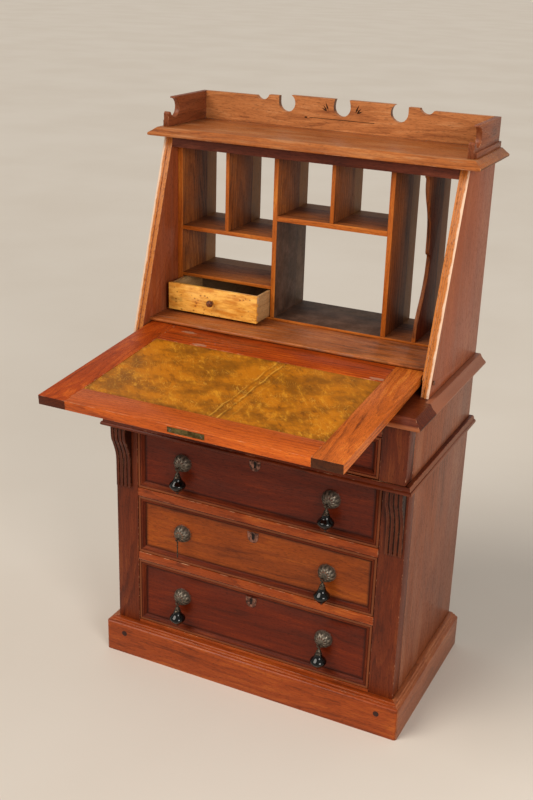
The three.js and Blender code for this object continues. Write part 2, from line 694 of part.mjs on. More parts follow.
// ---------------------------------------------------------------- fall flap, about its pivot
function makeFlap() {
  const flap = new THREE.Group();
  flap.position.set(0, -pivotDepth, pivotHeight);
  flap.rotation.x = flapDroop;
  desk.add(flap);
  const half = flapThick / 2;
  const innerX = flapHalf - flapStile;
  const frontInner = -flapReach + flapFrontRail;
  const rearInner = frontInner + leatherLength;

  bothSides((word, side) => {
    const [x0, x1] = span(side, innerX + gap, flapHalf);
    const bore = rodX(pivotRadius + gap, x0 + 44, x1 + 1, 0, 0);
    const bored = span(side, flapHalf - 16, flapHalf + 1);
    const hole = rodX(pivotRadius + gap, bored[0], bored[1], 0, 0);
    const stile = block(x0, x1, -flapReach, flapTail, -half, half);
    place(`flap_stile_${word}`, walnut, stile.subtract(side > 0 ? bore : hole), flap);
  });
  place("flap_rail_rear", walnut, block(-innerX, innerX, rearInner + gap, flapTail, -half, half), flap);

  // The groundwork under the leather is one piece with the front rail.
  const lock = { x: lockPlace, half: 38, bodyHalf: 26, plate: 1.6, high: 5.5, depth: 32, thick: 4.5 };
  let front = block(-innerX, innerX, -flapReach, frontInner, -half, half);
  front = front.add(block(-innerX, innerX, frontInner - 1, rearInner, -half, half - 3));
  const plateWay = block(lock.x - lock.half - gap, lock.x + lock.half + gap, -flapReach - 1,
    -flapReach + lock.plate + gap, -lock.high - gap, lock.high + gap);
  const bodyWay = block(lock.x - lock.bodyHalf - gap, lock.x + lock.bodyHalf + gap, -flapReach - 1,
    -flapReach + lock.depth + gap, -lock.thick - gap, lock.thick + gap);
  place("flap_rail_front", walnutLight, front.subtract(plateWay).subtract(bodyWay), flap);

  const leatherHalf = innerX - gap;
  const sheet = block(-leatherHalf, leatherHalf, frontInner + gap, rearInner - gap, half - 2.7, half - 0.6);
  place("flap_leather", leather, sheet, flap);

  let lockBody = block(lock.x - lock.half, lock.x + lock.half, -flapReach, -flapReach + lock.plate,
    -lock.high, lock.high);
  lockBody = lockBody.add(block(lock.x - lock.bodyHalf, lock.x + lock.bodyHalf, -flapReach + 1,
    -flapReach + lock.depth, -lock.thick, lock.thick));
  const boltHalf = 9;
  const boltThick = 2.2;
  const boltWay = block(lock.x - boltHalf - gap, lock.x + boltHalf + gap, -flapReach - 1,
    -flapReach + 24, -boltThick - gap, boltThick + gap);
  place("flap_lock", brass, lockBody.subtract(boltWay), flap);
  place("flap_lock_bolt", brass, block(lock.x - boltHalf, lock.x + boltHalf, -flapReach + gap,
    -flapReach + 22, -boltThick, boltThick), flap);

  bothSides((word, side) => {
    const [x0, x1] = span(side, flapHalf - 15, caseHalf + 0.2);
    const [h0, h1] = span(side, caseHalf + gap - 0.1, caseHalf + gap + 1.4);
    const pin = rodX(pivotRadius, x0, x1, -pivotDepth, pivotHeight);
    const head = rodX(4.4, h0, h1, -pivotDepth, pivotHeight, 20);
    place(`flap_pivot_${word}`, brass, pin.add(head));
  });
}

// ---------------------------------------------------------------- assembly
makePlinth();
makeCarcase();
makeDustBoards();
makeWaist();
makeDeskBoard();
makeSlantSides();
makeTop();
makeGallery();
makeLedge();
makeNest();
makeNestDrawer();
makeDrawers();
makeFlap();

// The origin is under the middle of the box that holds the desk as it stands open.
const box = new THREE.Box3().setFromObject(desk);
desk.position.y = -(box.min.y + box.max.y) / 2;

export default desk;
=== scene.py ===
"""Looks of the secretary desk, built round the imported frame. Metres, +Z up, front towards -Y."""
import math
import random

import bmesh
import bpy
from mathutils import Matrix, Vector


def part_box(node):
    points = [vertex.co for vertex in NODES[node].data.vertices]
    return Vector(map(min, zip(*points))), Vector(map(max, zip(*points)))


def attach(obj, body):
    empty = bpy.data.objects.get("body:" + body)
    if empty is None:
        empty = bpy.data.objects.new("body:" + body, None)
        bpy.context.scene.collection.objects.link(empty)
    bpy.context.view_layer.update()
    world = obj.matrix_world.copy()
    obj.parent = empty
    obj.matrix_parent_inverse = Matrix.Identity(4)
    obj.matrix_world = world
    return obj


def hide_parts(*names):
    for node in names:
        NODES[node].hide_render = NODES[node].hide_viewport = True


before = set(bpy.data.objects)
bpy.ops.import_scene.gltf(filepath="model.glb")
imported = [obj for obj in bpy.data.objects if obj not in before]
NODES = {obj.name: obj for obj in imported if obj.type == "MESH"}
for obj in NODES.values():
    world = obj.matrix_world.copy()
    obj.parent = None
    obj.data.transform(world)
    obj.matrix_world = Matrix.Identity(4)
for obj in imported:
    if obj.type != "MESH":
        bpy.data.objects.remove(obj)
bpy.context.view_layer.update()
SCENE = bpy.context.scene
MM = 0.001
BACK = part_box("lower_back")[1][1]          # y of the back plane
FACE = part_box("stile_left")[0][1]          # y of the front of the lower stiles
FRIEZE_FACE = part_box("frieze_stile_left")[0][1]
PANEL_RECESS = 8.5 * MM                    # drawer panels behind the face
DRAWERS = ("frieze", "upper", "middle", "lower")


# ------------------------------------------------------------------ node helpers
def srgb(code):
    """Linear colour of a six-digit screen colour."""
    parts = [int(code[i:i + 2], 16) / 255 for i in (0, 2, 4)]
    return tuple(c / 12.92 if c < 0.04045 else ((c + 0.055) / 1.055) ** 2.4 for c in parts) + (1.0,)


class Maker:
    """Adds shader nodes to one tree; each call gives back the output socket."""

    def __init__(self, tree):
        self.tree = tree

    def node(self, kind, **settings):
        made = self.tree.nodes.new("ShaderNode" + kind)
        for name, value in settings.items():
            setattr(made, name, value)
        return made

    def put(self, socket, value):
        if isinstance(value, bpy.types.NodeSocket):
            self.tree.links.new(value, socket)
        else:
            socket.default_value = value

    def math(self, operation, a, b=0.0, clamp=False):
        made = self.node("Math", operation=operation, use_clamp=clamp)
        self.put(made.inputs[0], a)
        self.put(made.inputs[1], b)
        return made.outputs[0]

    def vector(self, operation, a, b=(0, 0, 0)):
        made = self.node("VectorMath", operation=operation)
        self.put(made.inputs[0], a)
        self.put(made.inputs[1], b)
        return made.outputs[1 if operation in ("LENGTH", "DOT_PRODUCT", "DISTANCE") else 0]

    def split(self, vector):
        made = self.node("SeparateXYZ")
        self.put(made.inputs[0], vector)
        return made.outputs

    def join(self, x, y, z):
        made = self.node("CombineXYZ")
        for socket, value in zip(made.inputs, (x, y, z)):
            self.put(socket, value)
        return made.outputs[0]

    def noise(self, position, size, detail=2.0, rough=0.5, out=0):
        made = self.node("TexNoise")
        self.put(made.inputs["Vector"], self.vector("DIVIDE", position, size))
        made.inputs["Scale"].default_value = 1.0
        made.inputs["Detail"].default_value = detail
        made.inputs["Roughness"].default_value = rough
        return made.outputs[out]

    def cells(self, position, size, feature="F1", out=0, randomness=1.0):
        made = self.node("TexVoronoi", feature=feature)
        self.put(made.inputs["Vector"], self.vector("DIVIDE", position, size))
        made.inputs["Scale"].default_value = 1.0
        made.inputs["Randomness"].default_value = randomness
        return made.outputs[out]

    def ease(self, value, low, high):
        """0 below low, 1 above high and smooth between; low may be the larger one."""
        made = self.node("MapRange", interpolation_type="SMOOTHSTEP")
        self.put(made.inputs[0], value)
        made.inputs[1].default_value = min(low, high)
        made.inputs[2].default_value = max(low, high)
        made.inputs[3].default_value = 0.0 if low < high else 1.0
        made.inputs[4].default_value = 1.0 if low < high else 0.0
        return made.outputs[0]

    def swing(self, value, amount):
        """Noise about its middle: minus to plus half the amount or so."""
        return self.math("MULTIPLY", self.math("SUBTRACT", value, 0.5), amount)

    def mix(self, share, a, b, blend="MIX"):
        made = self.node("Mix", data_type="RGBA", blend_type=blend)
        self.put(made.inputs[0], share)
        self.put(made.inputs[6], a)
        self.put(made.inputs[7], b)
        return made.outputs[2]

    def mix_number(self, share, a, b):
        made = self.node("Mix", data_type="FLOAT")
        self.put(made.inputs[0], share)
        self.put(made.inputs[2], a)
        self.put(made.inputs[3], b)
        return made.outputs[0]

    def mix_vector(self, share, a, b):
        made = self.node("Mix", data_type="VECTOR")
        self.put(made.inputs[0], share)
        self.put(made.inputs[4], a)
        self.put(made.inputs[5], b)
        return made.outputs[1]

    def darken(self, colour, mask, amount):
        """The colour, multiplied down by the amount where the mask is 1."""
        shade = self.math("SUBTRACT", 1.0, self.math("MULTIPLY", mask, amount))
        return self.mix(1.0, colour, self.join(shade, shade, shade), blend="MULTIPLY")

    def here(self):
        """Position on the piece in millimetres, and its outward direction."""
        made = self.node("TexCoord")
        return self.vector("MULTIPLY", made.outputs["Object"], (1000, 1000, 1000)), made.outputs["Normal"]


def new_material(name, coat=0.0, coat_roughness=0.2, metallic=0.0, specular=0.5):
    material = bpy.data.materials.new(name)
    material.use_nodes = True
    shader = material.node_tree.nodes["Principled BSDF"]
    shader.inputs["Coat Weight"].default_value = coat
    shader.inputs["Coat Roughness"].default_value = coat_roughness
    shader.inputs["Metallic"].default_value = metallic
    shader.inputs["Specular IOR Level"].default_value = specular
    return material, shader, Maker(material.node_tree)


def finish_surface(make, shader, colour, roughness, height=None, depth=0.0003, strength=0.5):
    make.put(shader.inputs["Base Color"], colour)
    make.put(shader.inputs["Roughness"], roughness)
    if height is not None:
        bump = make.node("Bump")
        bump.inputs["Strength"].default_value = strength
        bump.inputs["Distance"].default_value = depth
        make.put(bump.inputs["Height"], height)
        make.put(shader.inputs["Normal"], bump.outputs[0])


# ------------------------------------------------------------------ walnut
PALETTES = {                                # dark, middle and light wood
    "red": ("310f04", "61250c", "85421c"),
    "deep": ("300b01", "5b1a03", "7e2d06"),
    "orange": ("742806", "be5616", "e37b29"),
    "rail": ("501c06", "913d11", "b96223"),
    "faded": ("562814", "874728", "a4643c"),
    "slant": ("612b14", "974b28", "b76a3b"),
    "dusty": ("63321b", "9b5734", "bc794c"),
    "top": ("6d3315", "a85f2c", "ca864d"),
    "gallery": ("783f22", "b87341", "dda16e"),
    "plum": ("35130a", "5e2817", "7d402a"),
    "ledge": ("5b2a11", "a85c2a", "ce8342"),
    "panel": ("471804", "873c0c", "b15d16"),
    "edge": ("78340a", "b15d1d", "d18434"),
    "inside": ("4b240b", "88481b", "aa672f"),
    "plain": ("8a6238", "b58a58", "cfa777"),
    "flap dark": ("561e04", "a33f0c", "da6b1c"),
    "flap light": ("6d300e", "c1601f", "f5963a"),
}


def timber_group():
    """Walnut figure for a position in millimetres whose x runs along the grain and whose pith is at y = z = 0."""
    group = bpy.data.node_groups.new("timber", "ShaderNodeTree")
    sockets = [("Position", "Vector"), ("Dark", "Color"), ("Middle", "Color"), ("Light", "Color"),
               ("Ring", "Float"), ("Figure", "Float"), ("Contrast", "Float")]
    for name, kind in sockets:
        group.interface.new_socket(name, in_out="INPUT", socket_type="NodeSocket" + kind)
    for name, kind in [("Color", "Color"), ("Roughness", "Float"), ("Height", "Float")]:
        group.interface.new_socket(name, in_out="OUTPUT", socket_type="NodeSocket" + kind)
    make = Maker(group)
    given = group.nodes.new("NodeGroupInput").outputs
    result = group.nodes.new("NodeGroupOutput").inputs
    position = given["Position"]
    wander = make.vector("SUBTRACT", make.noise(position, (330, 60, 60), 2, out=1), (0.5, 0.5, 0.5))
    bent = make.vector("ADD", position, make.vector("MULTIPLY", wander, (0, 45, 45)))
    x, y, z = make.split(bent)
    radius = make.vector("LENGTH", make.join(0.0, y, z))
    phase = make.math("DIVIDE", make.math("ADD", radius, make.math("MULTIPLY", x, 0.03)), given["Ring"])
    phase = make.math("ADD", phase, make.swing(make.noise(position, (70, 9, 9), 2), 0.7))
    ring = make.math("FRACT", phase)
    late = make.math("SUBTRACT", make.ease(ring, 0.35, 0.9), make.ease(ring, 0.93, 1.0))
    streak = make.noise(bent, (170, 3.6, 3.6), 5, 0.68)
    fibre = make.noise(position, (30, 1.1, 1.1), 2, 0.6)
    blotch = make.noise(position, (170, 60, 60), 3)
    level = make.math("ADD", make.swing(streak, 1.0), make.swing(fibre, 0.65))
    level = make.math("ADD", level, make.swing(blotch, 1.1))
    level = make.math("MULTIPLY", level, given["Contrast"])
    level = make.math("SUBTRACT", level, make.math("MULTIPLY", late, given["Figure"]))
    level = make.math("ADD", level, 0.56)
    colour = make.mix(make.ease(level, -0.05, 0.58), given["Dark"], given["Middle"])
    colour = make.mix(make.ease(level, 0.5, 1.05), colour, given["Light"])
    pores = make.ease(make.noise(position, (9, 0.9, 0.9), 1), 0.57, 0.68)
    make.put(result["Color"], make.darken(colour, pores, 0.4))
    rough = make.math("ADD", make.math("MULTIPLY", fibre, 0.18), make.math("MULTIPLY", pores, 0.22))
    make.put(result["Roughness"], rough)
    make.put(result["Height"], make.math("SUBTRACT", make.math("MULTIPLY", fibre, 0.4), pores))
    return group


TIMBER = timber_group()


def grain_position(make, position, node, grain, salt=""):
    """Swings the grain axis onto x and sets the pith of the tree beside the board."""
    low, high = [Vector(corner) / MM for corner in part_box(node)]
    order = {"X": (0, 1, 2), "Y": (1, 0, 2), "Z": (2, 0, 1)}[grain]
    chance = random.Random(node + salt)
    size = high - low
    first, second = order[1:]
    wide, thin = (first, second) if size[first] > size[second] else (second, first)
    pith = [0.0, 0.0, 0.0]
    pith[order[0]] = chance.uniform(-900, 900)
    pith[wide] = (low[wide] + high[wide]) / 2 + chance.uniform(-0.35, 0.35) * size[wide]
    pith[thin] = (low[thin] + high[thin]) / 2 + chance.choice((-1, 1)) * chance.uniform(28, 60)
    parts = make.split(make.vector("SUBTRACT", position, pith))
    return make.join(*[parts[i] for i in order])


def timber(make, position, palette, ring=9.0, figure=0.2, contrast=0.85):
    """Colour, roughness and height of walnut at a grain position."""
    made = make.node("Group", node_tree=TIMBER)
    for name, code in zip(("Dark", "Middle", "Light"), PALETTES[palette]):
        made.inputs[name].default_value = srgb(code)
    made.inputs["Ring"].default_value = ring
    made.inputs["Figure"].default_value = figure
    made.inputs["Contrast"].default_value = contrast
    make.put(made.inputs["Position"], position)
    return made.outputs


def end_grain(make, colour, normal, grain, depth=0.68):
    """Darkens the faces that look along the grain."""
    along = make.split(normal)["XYZ".index(grain)]
    return make.darken(colour, make.ease(make.math("ABSOLUTE", along), 0.80, 0.95), depth)


def rubbed(make, colour, position, share, tone="cf9a75"):
    """Pale, patchy rubbing, as on the arrises of old polish."""
    patches = make.ease(make.noise(position, (28, 9, 9), 3, 0.7), 0.62 - 0.35 * share, 0.80 - 0.25 * share)
    return make.mix(make.math("MULTIPLY", patches, 0.75), colour, srgb(tone))


def walnut(node, palette, grain, gloss=0.40, worn=0.0, ring=9.0, figure=0.2, contrast=0.85, ends=0.68, extra=None):
    """Polished walnut cut for one board; worn is the share of rubbed patches."""
    name = f"walnut_{node}" + ("_edge" if worn else "")
    material, shader, make = new_material(name, coat=0.05, coat_roughness=0.25, specular=0.2)
    position, normal = make.here()
    outs = timber(make, grain_position(make, position, node, grain), palette, ring, figure, contrast)
    colour = end_grain(make, outs["Color"], normal, grain, ends)
    rough = make.math("ADD", outs["Roughness"], gloss - 0.1)
    if extra:
        colour, rough = extra(make, position, normal, colour, rough)
    if worn:
        colour = rubbed(make, colour, position, worn)
        rough = make.math("ADD", rough, 0.15)
    finish_surface(make, shader, colour, rough, outs["Height"], depth=0.00012, strength=0.35)
    return material


# ------------------------------------------------------------------ marks on particular boards
def spot(make, position, place, reach):
    """1 inside an ellipsoid round a place, fading to 0 at its skin; millimetres."""
    away = make.vector("DIVIDE", make.vector("SUBTRACT", position, place), reach)
    ragged = make.swing(make.noise(position, (9, 9, 9), 3, 0.7), 1.3)
    return make.ease(make.math("ADD", make.vector("LENGTH", away), ragged), 1.0, 0.7)


def inside_box(make, position, low, high, soft=1.0):
    """1 inside a box given in millimetres."""
    mask = 1.0
    for value, bottom, top in zip(make.split(position), low, high):
        for edge, sign in ((bottom, 1), (top, -1)):
            if edge is not None:
                mask = make.math("MULTIPLY", mask, make.ease(value, edge - sign * soft, edge + sign * soft))
    return mask


def scuffed_rail(make, position, normal, colour, rough):
    """Grey scuffs where the shut flap's rear rail has been knocked."""
    for x, y, long in ((-206, -299, 19), (-154, -348, 20), (240, -346, 20)):
        place = (x, BACK / MM + y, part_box("flap_rail_rear")[1][2] / MM - 0.1 * abs(y + 290) + 3)
        mask = spot(make, position, place, (long, 6, 30))
        colour = make.mix(make.math("MULTIPLY", mask, 0.5), colour, srgb("a58a72"))
    return colour, rough


def stained_ledge(make, position, normal, colour, rough):
    """Ink and damp stains towards the right, bare paler wood on the left."""
    x = make.split(position)[0]
    stains = make.ease(make.noise(position, (110, 16, 40), 5, 0.7), 0.46, 0.60)
    right = make.ease(x, -120, 160)
    colour = make.darken(colour, make.math("MULTIPLY", stains, make.math("ADD", right, 0.25)), 0.36)
    greyed = make.ease(make.noise(make.vector("ADD", position, (300, 0, 0)), (80, 9, 30), 4, 0.65), 0.50, 0.68)
    return make.mix(make.math("MULTIPLY", greyed, 0.35), colour, srgb("8d7563")), rough


def scuffed_top(make, position, normal, colour, rough):
    """Long dull scuffs on the top board."""
    streaks = make.ease(make.noise(position, (120, 14, 14), 4, 0.6), 0.50, 0.66)
    colour = make.mix(make.math("MULTIPLY", streaks, 0.35), colour, srgb("b98b62"))
    return colour, make.math("ADD", rough, make.math("MULTIPLY", streaks, 0.12))


def pieced_moulding(make, position, normal, colour, rough):
    """Right-hand cornice: a newer, darker length at the front butts against a faded one; painted light along the
    board's front nose.
    """
    joint = BACK / MM - 338
    right = make.math("MULTIPLY", make.ease(make.split(position)[0], 337, 340),
                      make.ease(make.split(position)[1], joint - 0.5, joint + 0.5))
    colour = make.mix(make.math("MULTIPLY", right, 0.75), colour, srgb("a8694b"))
    front = make.math("MULTIPLY", make.ease(make.split(position)[0], 337, 340),
                      make.ease(make.split(position)[1], joint + 0.5, joint - 0.5))
    low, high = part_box("desk_board")
    # painted light: the desk board's front nose is lightened as if lit
    lit_nose = make.ease(make.split(position)[1], low[1] / MM + 5, low[1] / MM + 1)
    colour = make.mix(make.math("MULTIPLY", lit_nose, 0.6), make.darken(colour, front, 0.15), srgb("a8643c"))
    return colour, make.math("SUBTRACT", rough, make.math("MULTIPLY", front, 0.08))


def dusty_ends(make, position, normal, colour, rough):
    """The moulding's returns along the sides are paler than its front."""
    side = make.ease(make.math("ABSOLUTE", make.split(normal)[0]), 0.2, 0.5)
    return make.mix(make.math("MULTIPLY", side, 0.55), colour, srgb("a06549")), rough


def streaky_side(make, position, normal, colour, rough):
    """Long vertical bands of paler, dusty polish on the case sides."""
    bands = make.ease(make.noise(position, (40, 26, 420), 3, 0.6), 0.46, 0.66)
    return make.mix(make.math("MULTIPLY", bands, 0.15), colour, srgb("a07a66")), rough


def reeded(make, position, normal, colour, rough):
    """Painted shade in the channels between a corbel's reeds, painted highlight on their crests, and the whole
    corbel darkened.
    """
    x, y, z = make.split(position)
    across = make.math("FRACT", make.math("DIVIDE", make.math("SUBTRACT", make.math("ABSOLUTE", x), 298.3), 9.6))
    channel_shade = make.math("MULTIPLY", make.ease(across, 0.64, 0.72), make.ease(across, 1.0, 0.96))
    below = make.ease(z, 432, 436)
    # painted shade: the channels between the reeds are darkened
    colour = make.darken(colour, make.math("MULTIPLY", channel_shade, below), 0.75)
    # painted highlight: the crests of the reeds are lightened
    crest_highlight = make.math("MULTIPLY", make.ease(across, 0.0, 0.06), make.ease(across, 0.30, 0.12))
    colour = make.mix(make.math("MULTIPLY", crest_highlight, 0.2), colour, srgb("9c5436"))
    return make.darken(colour, 1.0, 0.36), rough


def carved(make, position, normal, colour, rough):
    """Painted shade in the cuts of the gallery's sprigs and in its incised line."""
    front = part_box("gallery_back")[0][1] / MM
    x, y, z = make.split(position)
    sunk = make.math("MULTIPLY", make.ease(y, front + 0.1, front + 0.4), make.ease(y, front + 3.5, front + 2.5))
    near = make.ease(make.math("ABSOLUTE", x), 92, 90)
    notch = make.ease(make.vector("LENGTH", make.vector("SUBTRACT", make.join(x, 0.0, z), (0, 0, 1230))), 20.5, 21.5)
    # painted shade: surfaces sunk behind the gallery's face are darkened
    mask = make.math("MULTIPLY", make.math("MULTIPLY", sunk, near), notch)
    return make.darken(colour, mask, 0.85), rough


def worn_slope(make, position, normal, colour, rough):
    """The sloping front edge is rubbed to bare, bright wood, nearly white along its outer arris."""
    colour, rough = streaky_side(make, position, normal, colour, rough)
    facing = make.ease(make.vector("DOT_PRODUCT", normal, (0, -0.948, 0.317)), 0.6, 0.8)
    across = make.math("ABSOLUTE", make.split(position)[0])
    specks = make.ease(make.noise(position, (3.5, 3.5, 11), 5, 0.8), 0.52, 0.66)
    bare = make.mix(specks, srgb("c27634"), srgb("5a2a12"))
    line = make.math("ADD", across, make.swing(make.noise(position, (8, 8, 40), 4, 0.7), 9))
    bare = make.mix(make.ease(line, 332, 335.5), bare, srgb("e9cdb2"))
    return make.mix(make.math("MULTIPLY", facing, 0.85), colour, bare), rough


# ------------------------------------------------------------------ the other finishes
def nest_finish(node, grain, stain=None):
    """Pigeonhole boards: polished front edges, dull unpolished faces with painted shade that deepens towards the
    back.
    """
    material, shader, make = new_material(f"nest_{node}", specular=0.25)
    position, normal = make.here()
    place = grain_position(make, position, node, grain)
    edge = timber(make, place, "edge", figure=0.2)
    face = timber(make, place, "inside", figure=0.3, contrast=1.1)
    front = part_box(node)[0][1] / MM
    y = make.split(position)[1]
    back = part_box(node)[1][1] / MM
    # painted shade, deepening from the front edge into the pigeonhole
    depth = make.ease(y, front + 20, front + 120)
    colour = make.darken(face["Color"], depth, 0.35)
    bare = make.ease(make.math("ADD", y, make.swing(make.noise(position, (60, 60, 60), 2), 8)), back - 46, back - 42)
    colour = make.mix(make.math("MULTIPLY", bare, 0.55), colour, srgb("a06f3c"))
    dust = make.ease(make.noise(position, (30, 30, 30), 4, 0.7), 0.45, 0.7)
    colour = make.mix(make.math("MULTIPLY", dust, 0.22), colour, srgb("5b4a3e"))
    if stain:
        mask = inside_box(make, position, *stain)
        blots = make.ease(make.noise(position, (34, 34, 34), 4, 0.65), 0.3, 0.62)
        grey = make.mix(blots, srgb("564338"), srgb("33271f"))
        colour = make.mix(make.math("MULTIPLY", mask, 0.85), colour, grey)
    at_front = make.ease(y, front + 1.6, front + 0.6)
    colour = make.mix(at_front, colour, edge["Color"])
    rough = make.mix_number(at_front, make.math("ADD", face["Roughness"], 0.5), 0.38)
    finish_surface(make, shader, colour, rough, face["Height"], depth=0.00012, strength=0.3)
    return material


def drawer_finish(word, palette):
    """Drawer front: figured panel, mitred moulding round it with painted shade where it meets the panel and a
    painted highlight on its ridge, and plain wood behind.
    """
    node = f"drawer_{word}"
    material, shader, make = new_material(f"front_{word}", coat=0.05, coat_roughness=0.25, specular=0.2)
    position, normal = make.here()
    x, y, z = make.split(position)
    low, high = [Vector(corner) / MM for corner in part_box(node)]
    face = (FRIEZE_FACE if word == "frieze" else FACE) / MM
    from_side = make.math("SUBTRACT", high.x, make.math("ABSOLUTE", x))
    from_end = make.math("MINIMUM", make.math("SUBTRACT", z, low.z + 0.7), make.math("SUBTRACT", high.z, z))
    from_edge = make.math("MINIMUM", from_side, from_end)
    upright = make.math("LESS_THAN", from_side, from_end)
    moulding = make.ease(from_edge, 15.6, 15.3)
    panel = timber(make, grain_position(make, position, node, "X"), palette, ring=11, figure=0.13, contrast=0.75)
    along = grain_position(make, position, node, "X", "rail")
    up = grain_position(make, position, node, "Z", "stile")
    frame_wood = timber(make, make.mix_vector(upright, along, up), "red")
    browner = make.mix(1.0, frame_wood["Color"], (0.9, 0.72, 0.5, 1), "MULTIPLY")
    colour = make.mix(moulding, panel["Color"], browner)
    # painted shade: a dark band in the corner where the moulding meets the panel
    moulding_edge_shade = make.math("MULTIPLY", make.ease(from_edge, 12.0, 15.5), make.ease(from_edge, 21, 15.6))
    colour = make.darken(colour, moulding_edge_shade, 0.55)
    # painted highlight: a lighter line along the front ridge of the moulding
    ridge_highlight = make.math("MULTIPLY", moulding, make.ease(y, face + 0.9, face + 0.1))
    colour = make.mix(make.math("MULTIPLY", ridge_highlight, 0.2), colour, srgb("b0703f"))
    mitre = make.ease(make.math("ABSOLUTE", make.math("SUBTRACT", from_side, from_end)), 0.5, 0.2)
    colour = make.darken(colour, make.math("MULTIPLY", mitre, moulding), 0.5)
    behind = make.ease(y, face + 23.4, face + 23.6)
    box_wood = timber(make, grain_position(make, position, node, "X", "box"), "plain", figure=0.15, contrast=0.7)
    colour = make.mix(behind, colour, box_wood["Color"])
    rough = make.math("ADD", panel["Roughness"], 0.3)
    rough = make.math("ADD", rough, make.math("MULTIPLY", make.math("MAXIMUM", behind, moulding), 0.2))
    slope = make.math("MULTIPLY", moulding, make.ease(from_edge, 5, 8))
    rough = make.math("MINIMUM", make.math("ADD", rough, make.math("MULTIPLY", slope, 0.45)), 1.0)
    finish_surface(make, shader, colour, rough, panel["Height"], depth=0.00012, strength=0.35)
    return material


def contours(make, position, size, steps):
    """Thin lines that follow each other like contours, as on hide creased by the tanner."""
    level = make.math("MULTIPLY", make.noise(position, size, 3, 0.5), steps)
    return make.ease(make.math("ABSOLUTE", make.math("SUBTRACT", make.math("FRACT", level), 0.5)), 0.10, 0.02)


def leather_finish():
    """Golden hide, mottled brown, with fine creases that run aslant, and painted highlight and shade along a few
    folds.
    """
    material, shader, make = new_material("leather", coat=0.03, coat_roughness=0.3, specular=0.18)
    position, normal = make.here()
    low, high = [Vector(corner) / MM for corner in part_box("flap_leather")]
    turn = make.node("VectorRotate", rotation_type="Z_AXIS")
    turn.inputs["Angle"].default_value = math.radians(-40)
    make.put(turn.inputs["Vector"], position)
    slant = turn.outputs[0]
    big = make.noise(position, (80, 60, 60), 5, 0.66)
    small = make.noise(slant, (14, 40, 30), 5, 0.7)
    colour = make.mix(make.ease(big, 0.38, 0.60), srgb("8d540a"), srgb("bf720c"))
    colour = make.mix(make.ease(small, 0.50, 0.76), colour, srgb("d99223"))
    colour = make.mix(make.math("MULTIPLY", make.ease(small, 0.47, 0.26), 0.8), colour, srgb("6e3c05"))
    zones = make.ease(make.noise(position, (60, 45, 45), 3), 0.46, 0.62)
    lines = make.math("MULTIPLY", contours(make, slant, (34, 90, 60), 14), zones)
    fold_x = make.math("ADD", make.split(position)[0], make.math("MULTIPLY", make.split(position)[1], -0.035))
    fold_x = make.math("ADD", fold_x, make.swing(make.noise(position, (40, 40, 40), 2), 10))
    fold_highlights = 0.0
    # each fold: a painted highlight along it and a painted shade band just beside it
    for place, strength in ((47, 1.0), (31, 0.8), (66, 0.3)):
        away = make.math("ABSOLUTE", make.math("SUBTRACT", fold_x, place))
        fold_highlights = make.math("MAXIMUM", fold_highlights, make.math("MULTIPLY", make.ease(away, 2.2, 0.5), strength))
        shade = make.ease(make.math("ABSOLUTE", make.math("SUBTRACT", fold_x, place + 4)), 3.5, 0.5)
        colour = make.darken(colour, make.math("MULTIPLY", shade, strength), 0.3)
    broken = make.ease(make.noise(position, (26, 26, 26), 3), 0.36, 0.6)
    lines = make.math("MAXIMUM", make.math("MULTIPLY", lines, 0.7), make.math("MULTIPLY", fold_highlights, broken))
    colour = make.mix(make.math("MULTIPLY", lines, 0.6), colour, srgb("e2ab45"))
    x, y, z = make.split(position)
    rim = make.math("MINIMUM", make.math("SUBTRACT", x, low.x), make.math("SUBTRACT", high.x, x))
    ends = make.math("MINIMUM", make.math("SUBTRACT", y, low.y), make.math("SUBTRACT", high.y, y))
    border = make.ease(make.math("ADD", make.math("MINIMUM", rim, ends), make.swing(small, 14)), 12, 0)
    colour = make.darken(colour, border, 0.22)
    grain = make.cells(position, (1.5, 1.5, 1.5))
    height = make.math("ADD", make.math("MULTIPLY", grain, 0.3), make.math("MULTIPLY", lines, 0.7))
    rough = make.math("ADD", 0.36, make.math("MULTIPLY", big, 0.3))
    finish_surface(make, shader, colour, rough, height, depth=0.0004, strength=0.5)
    return material


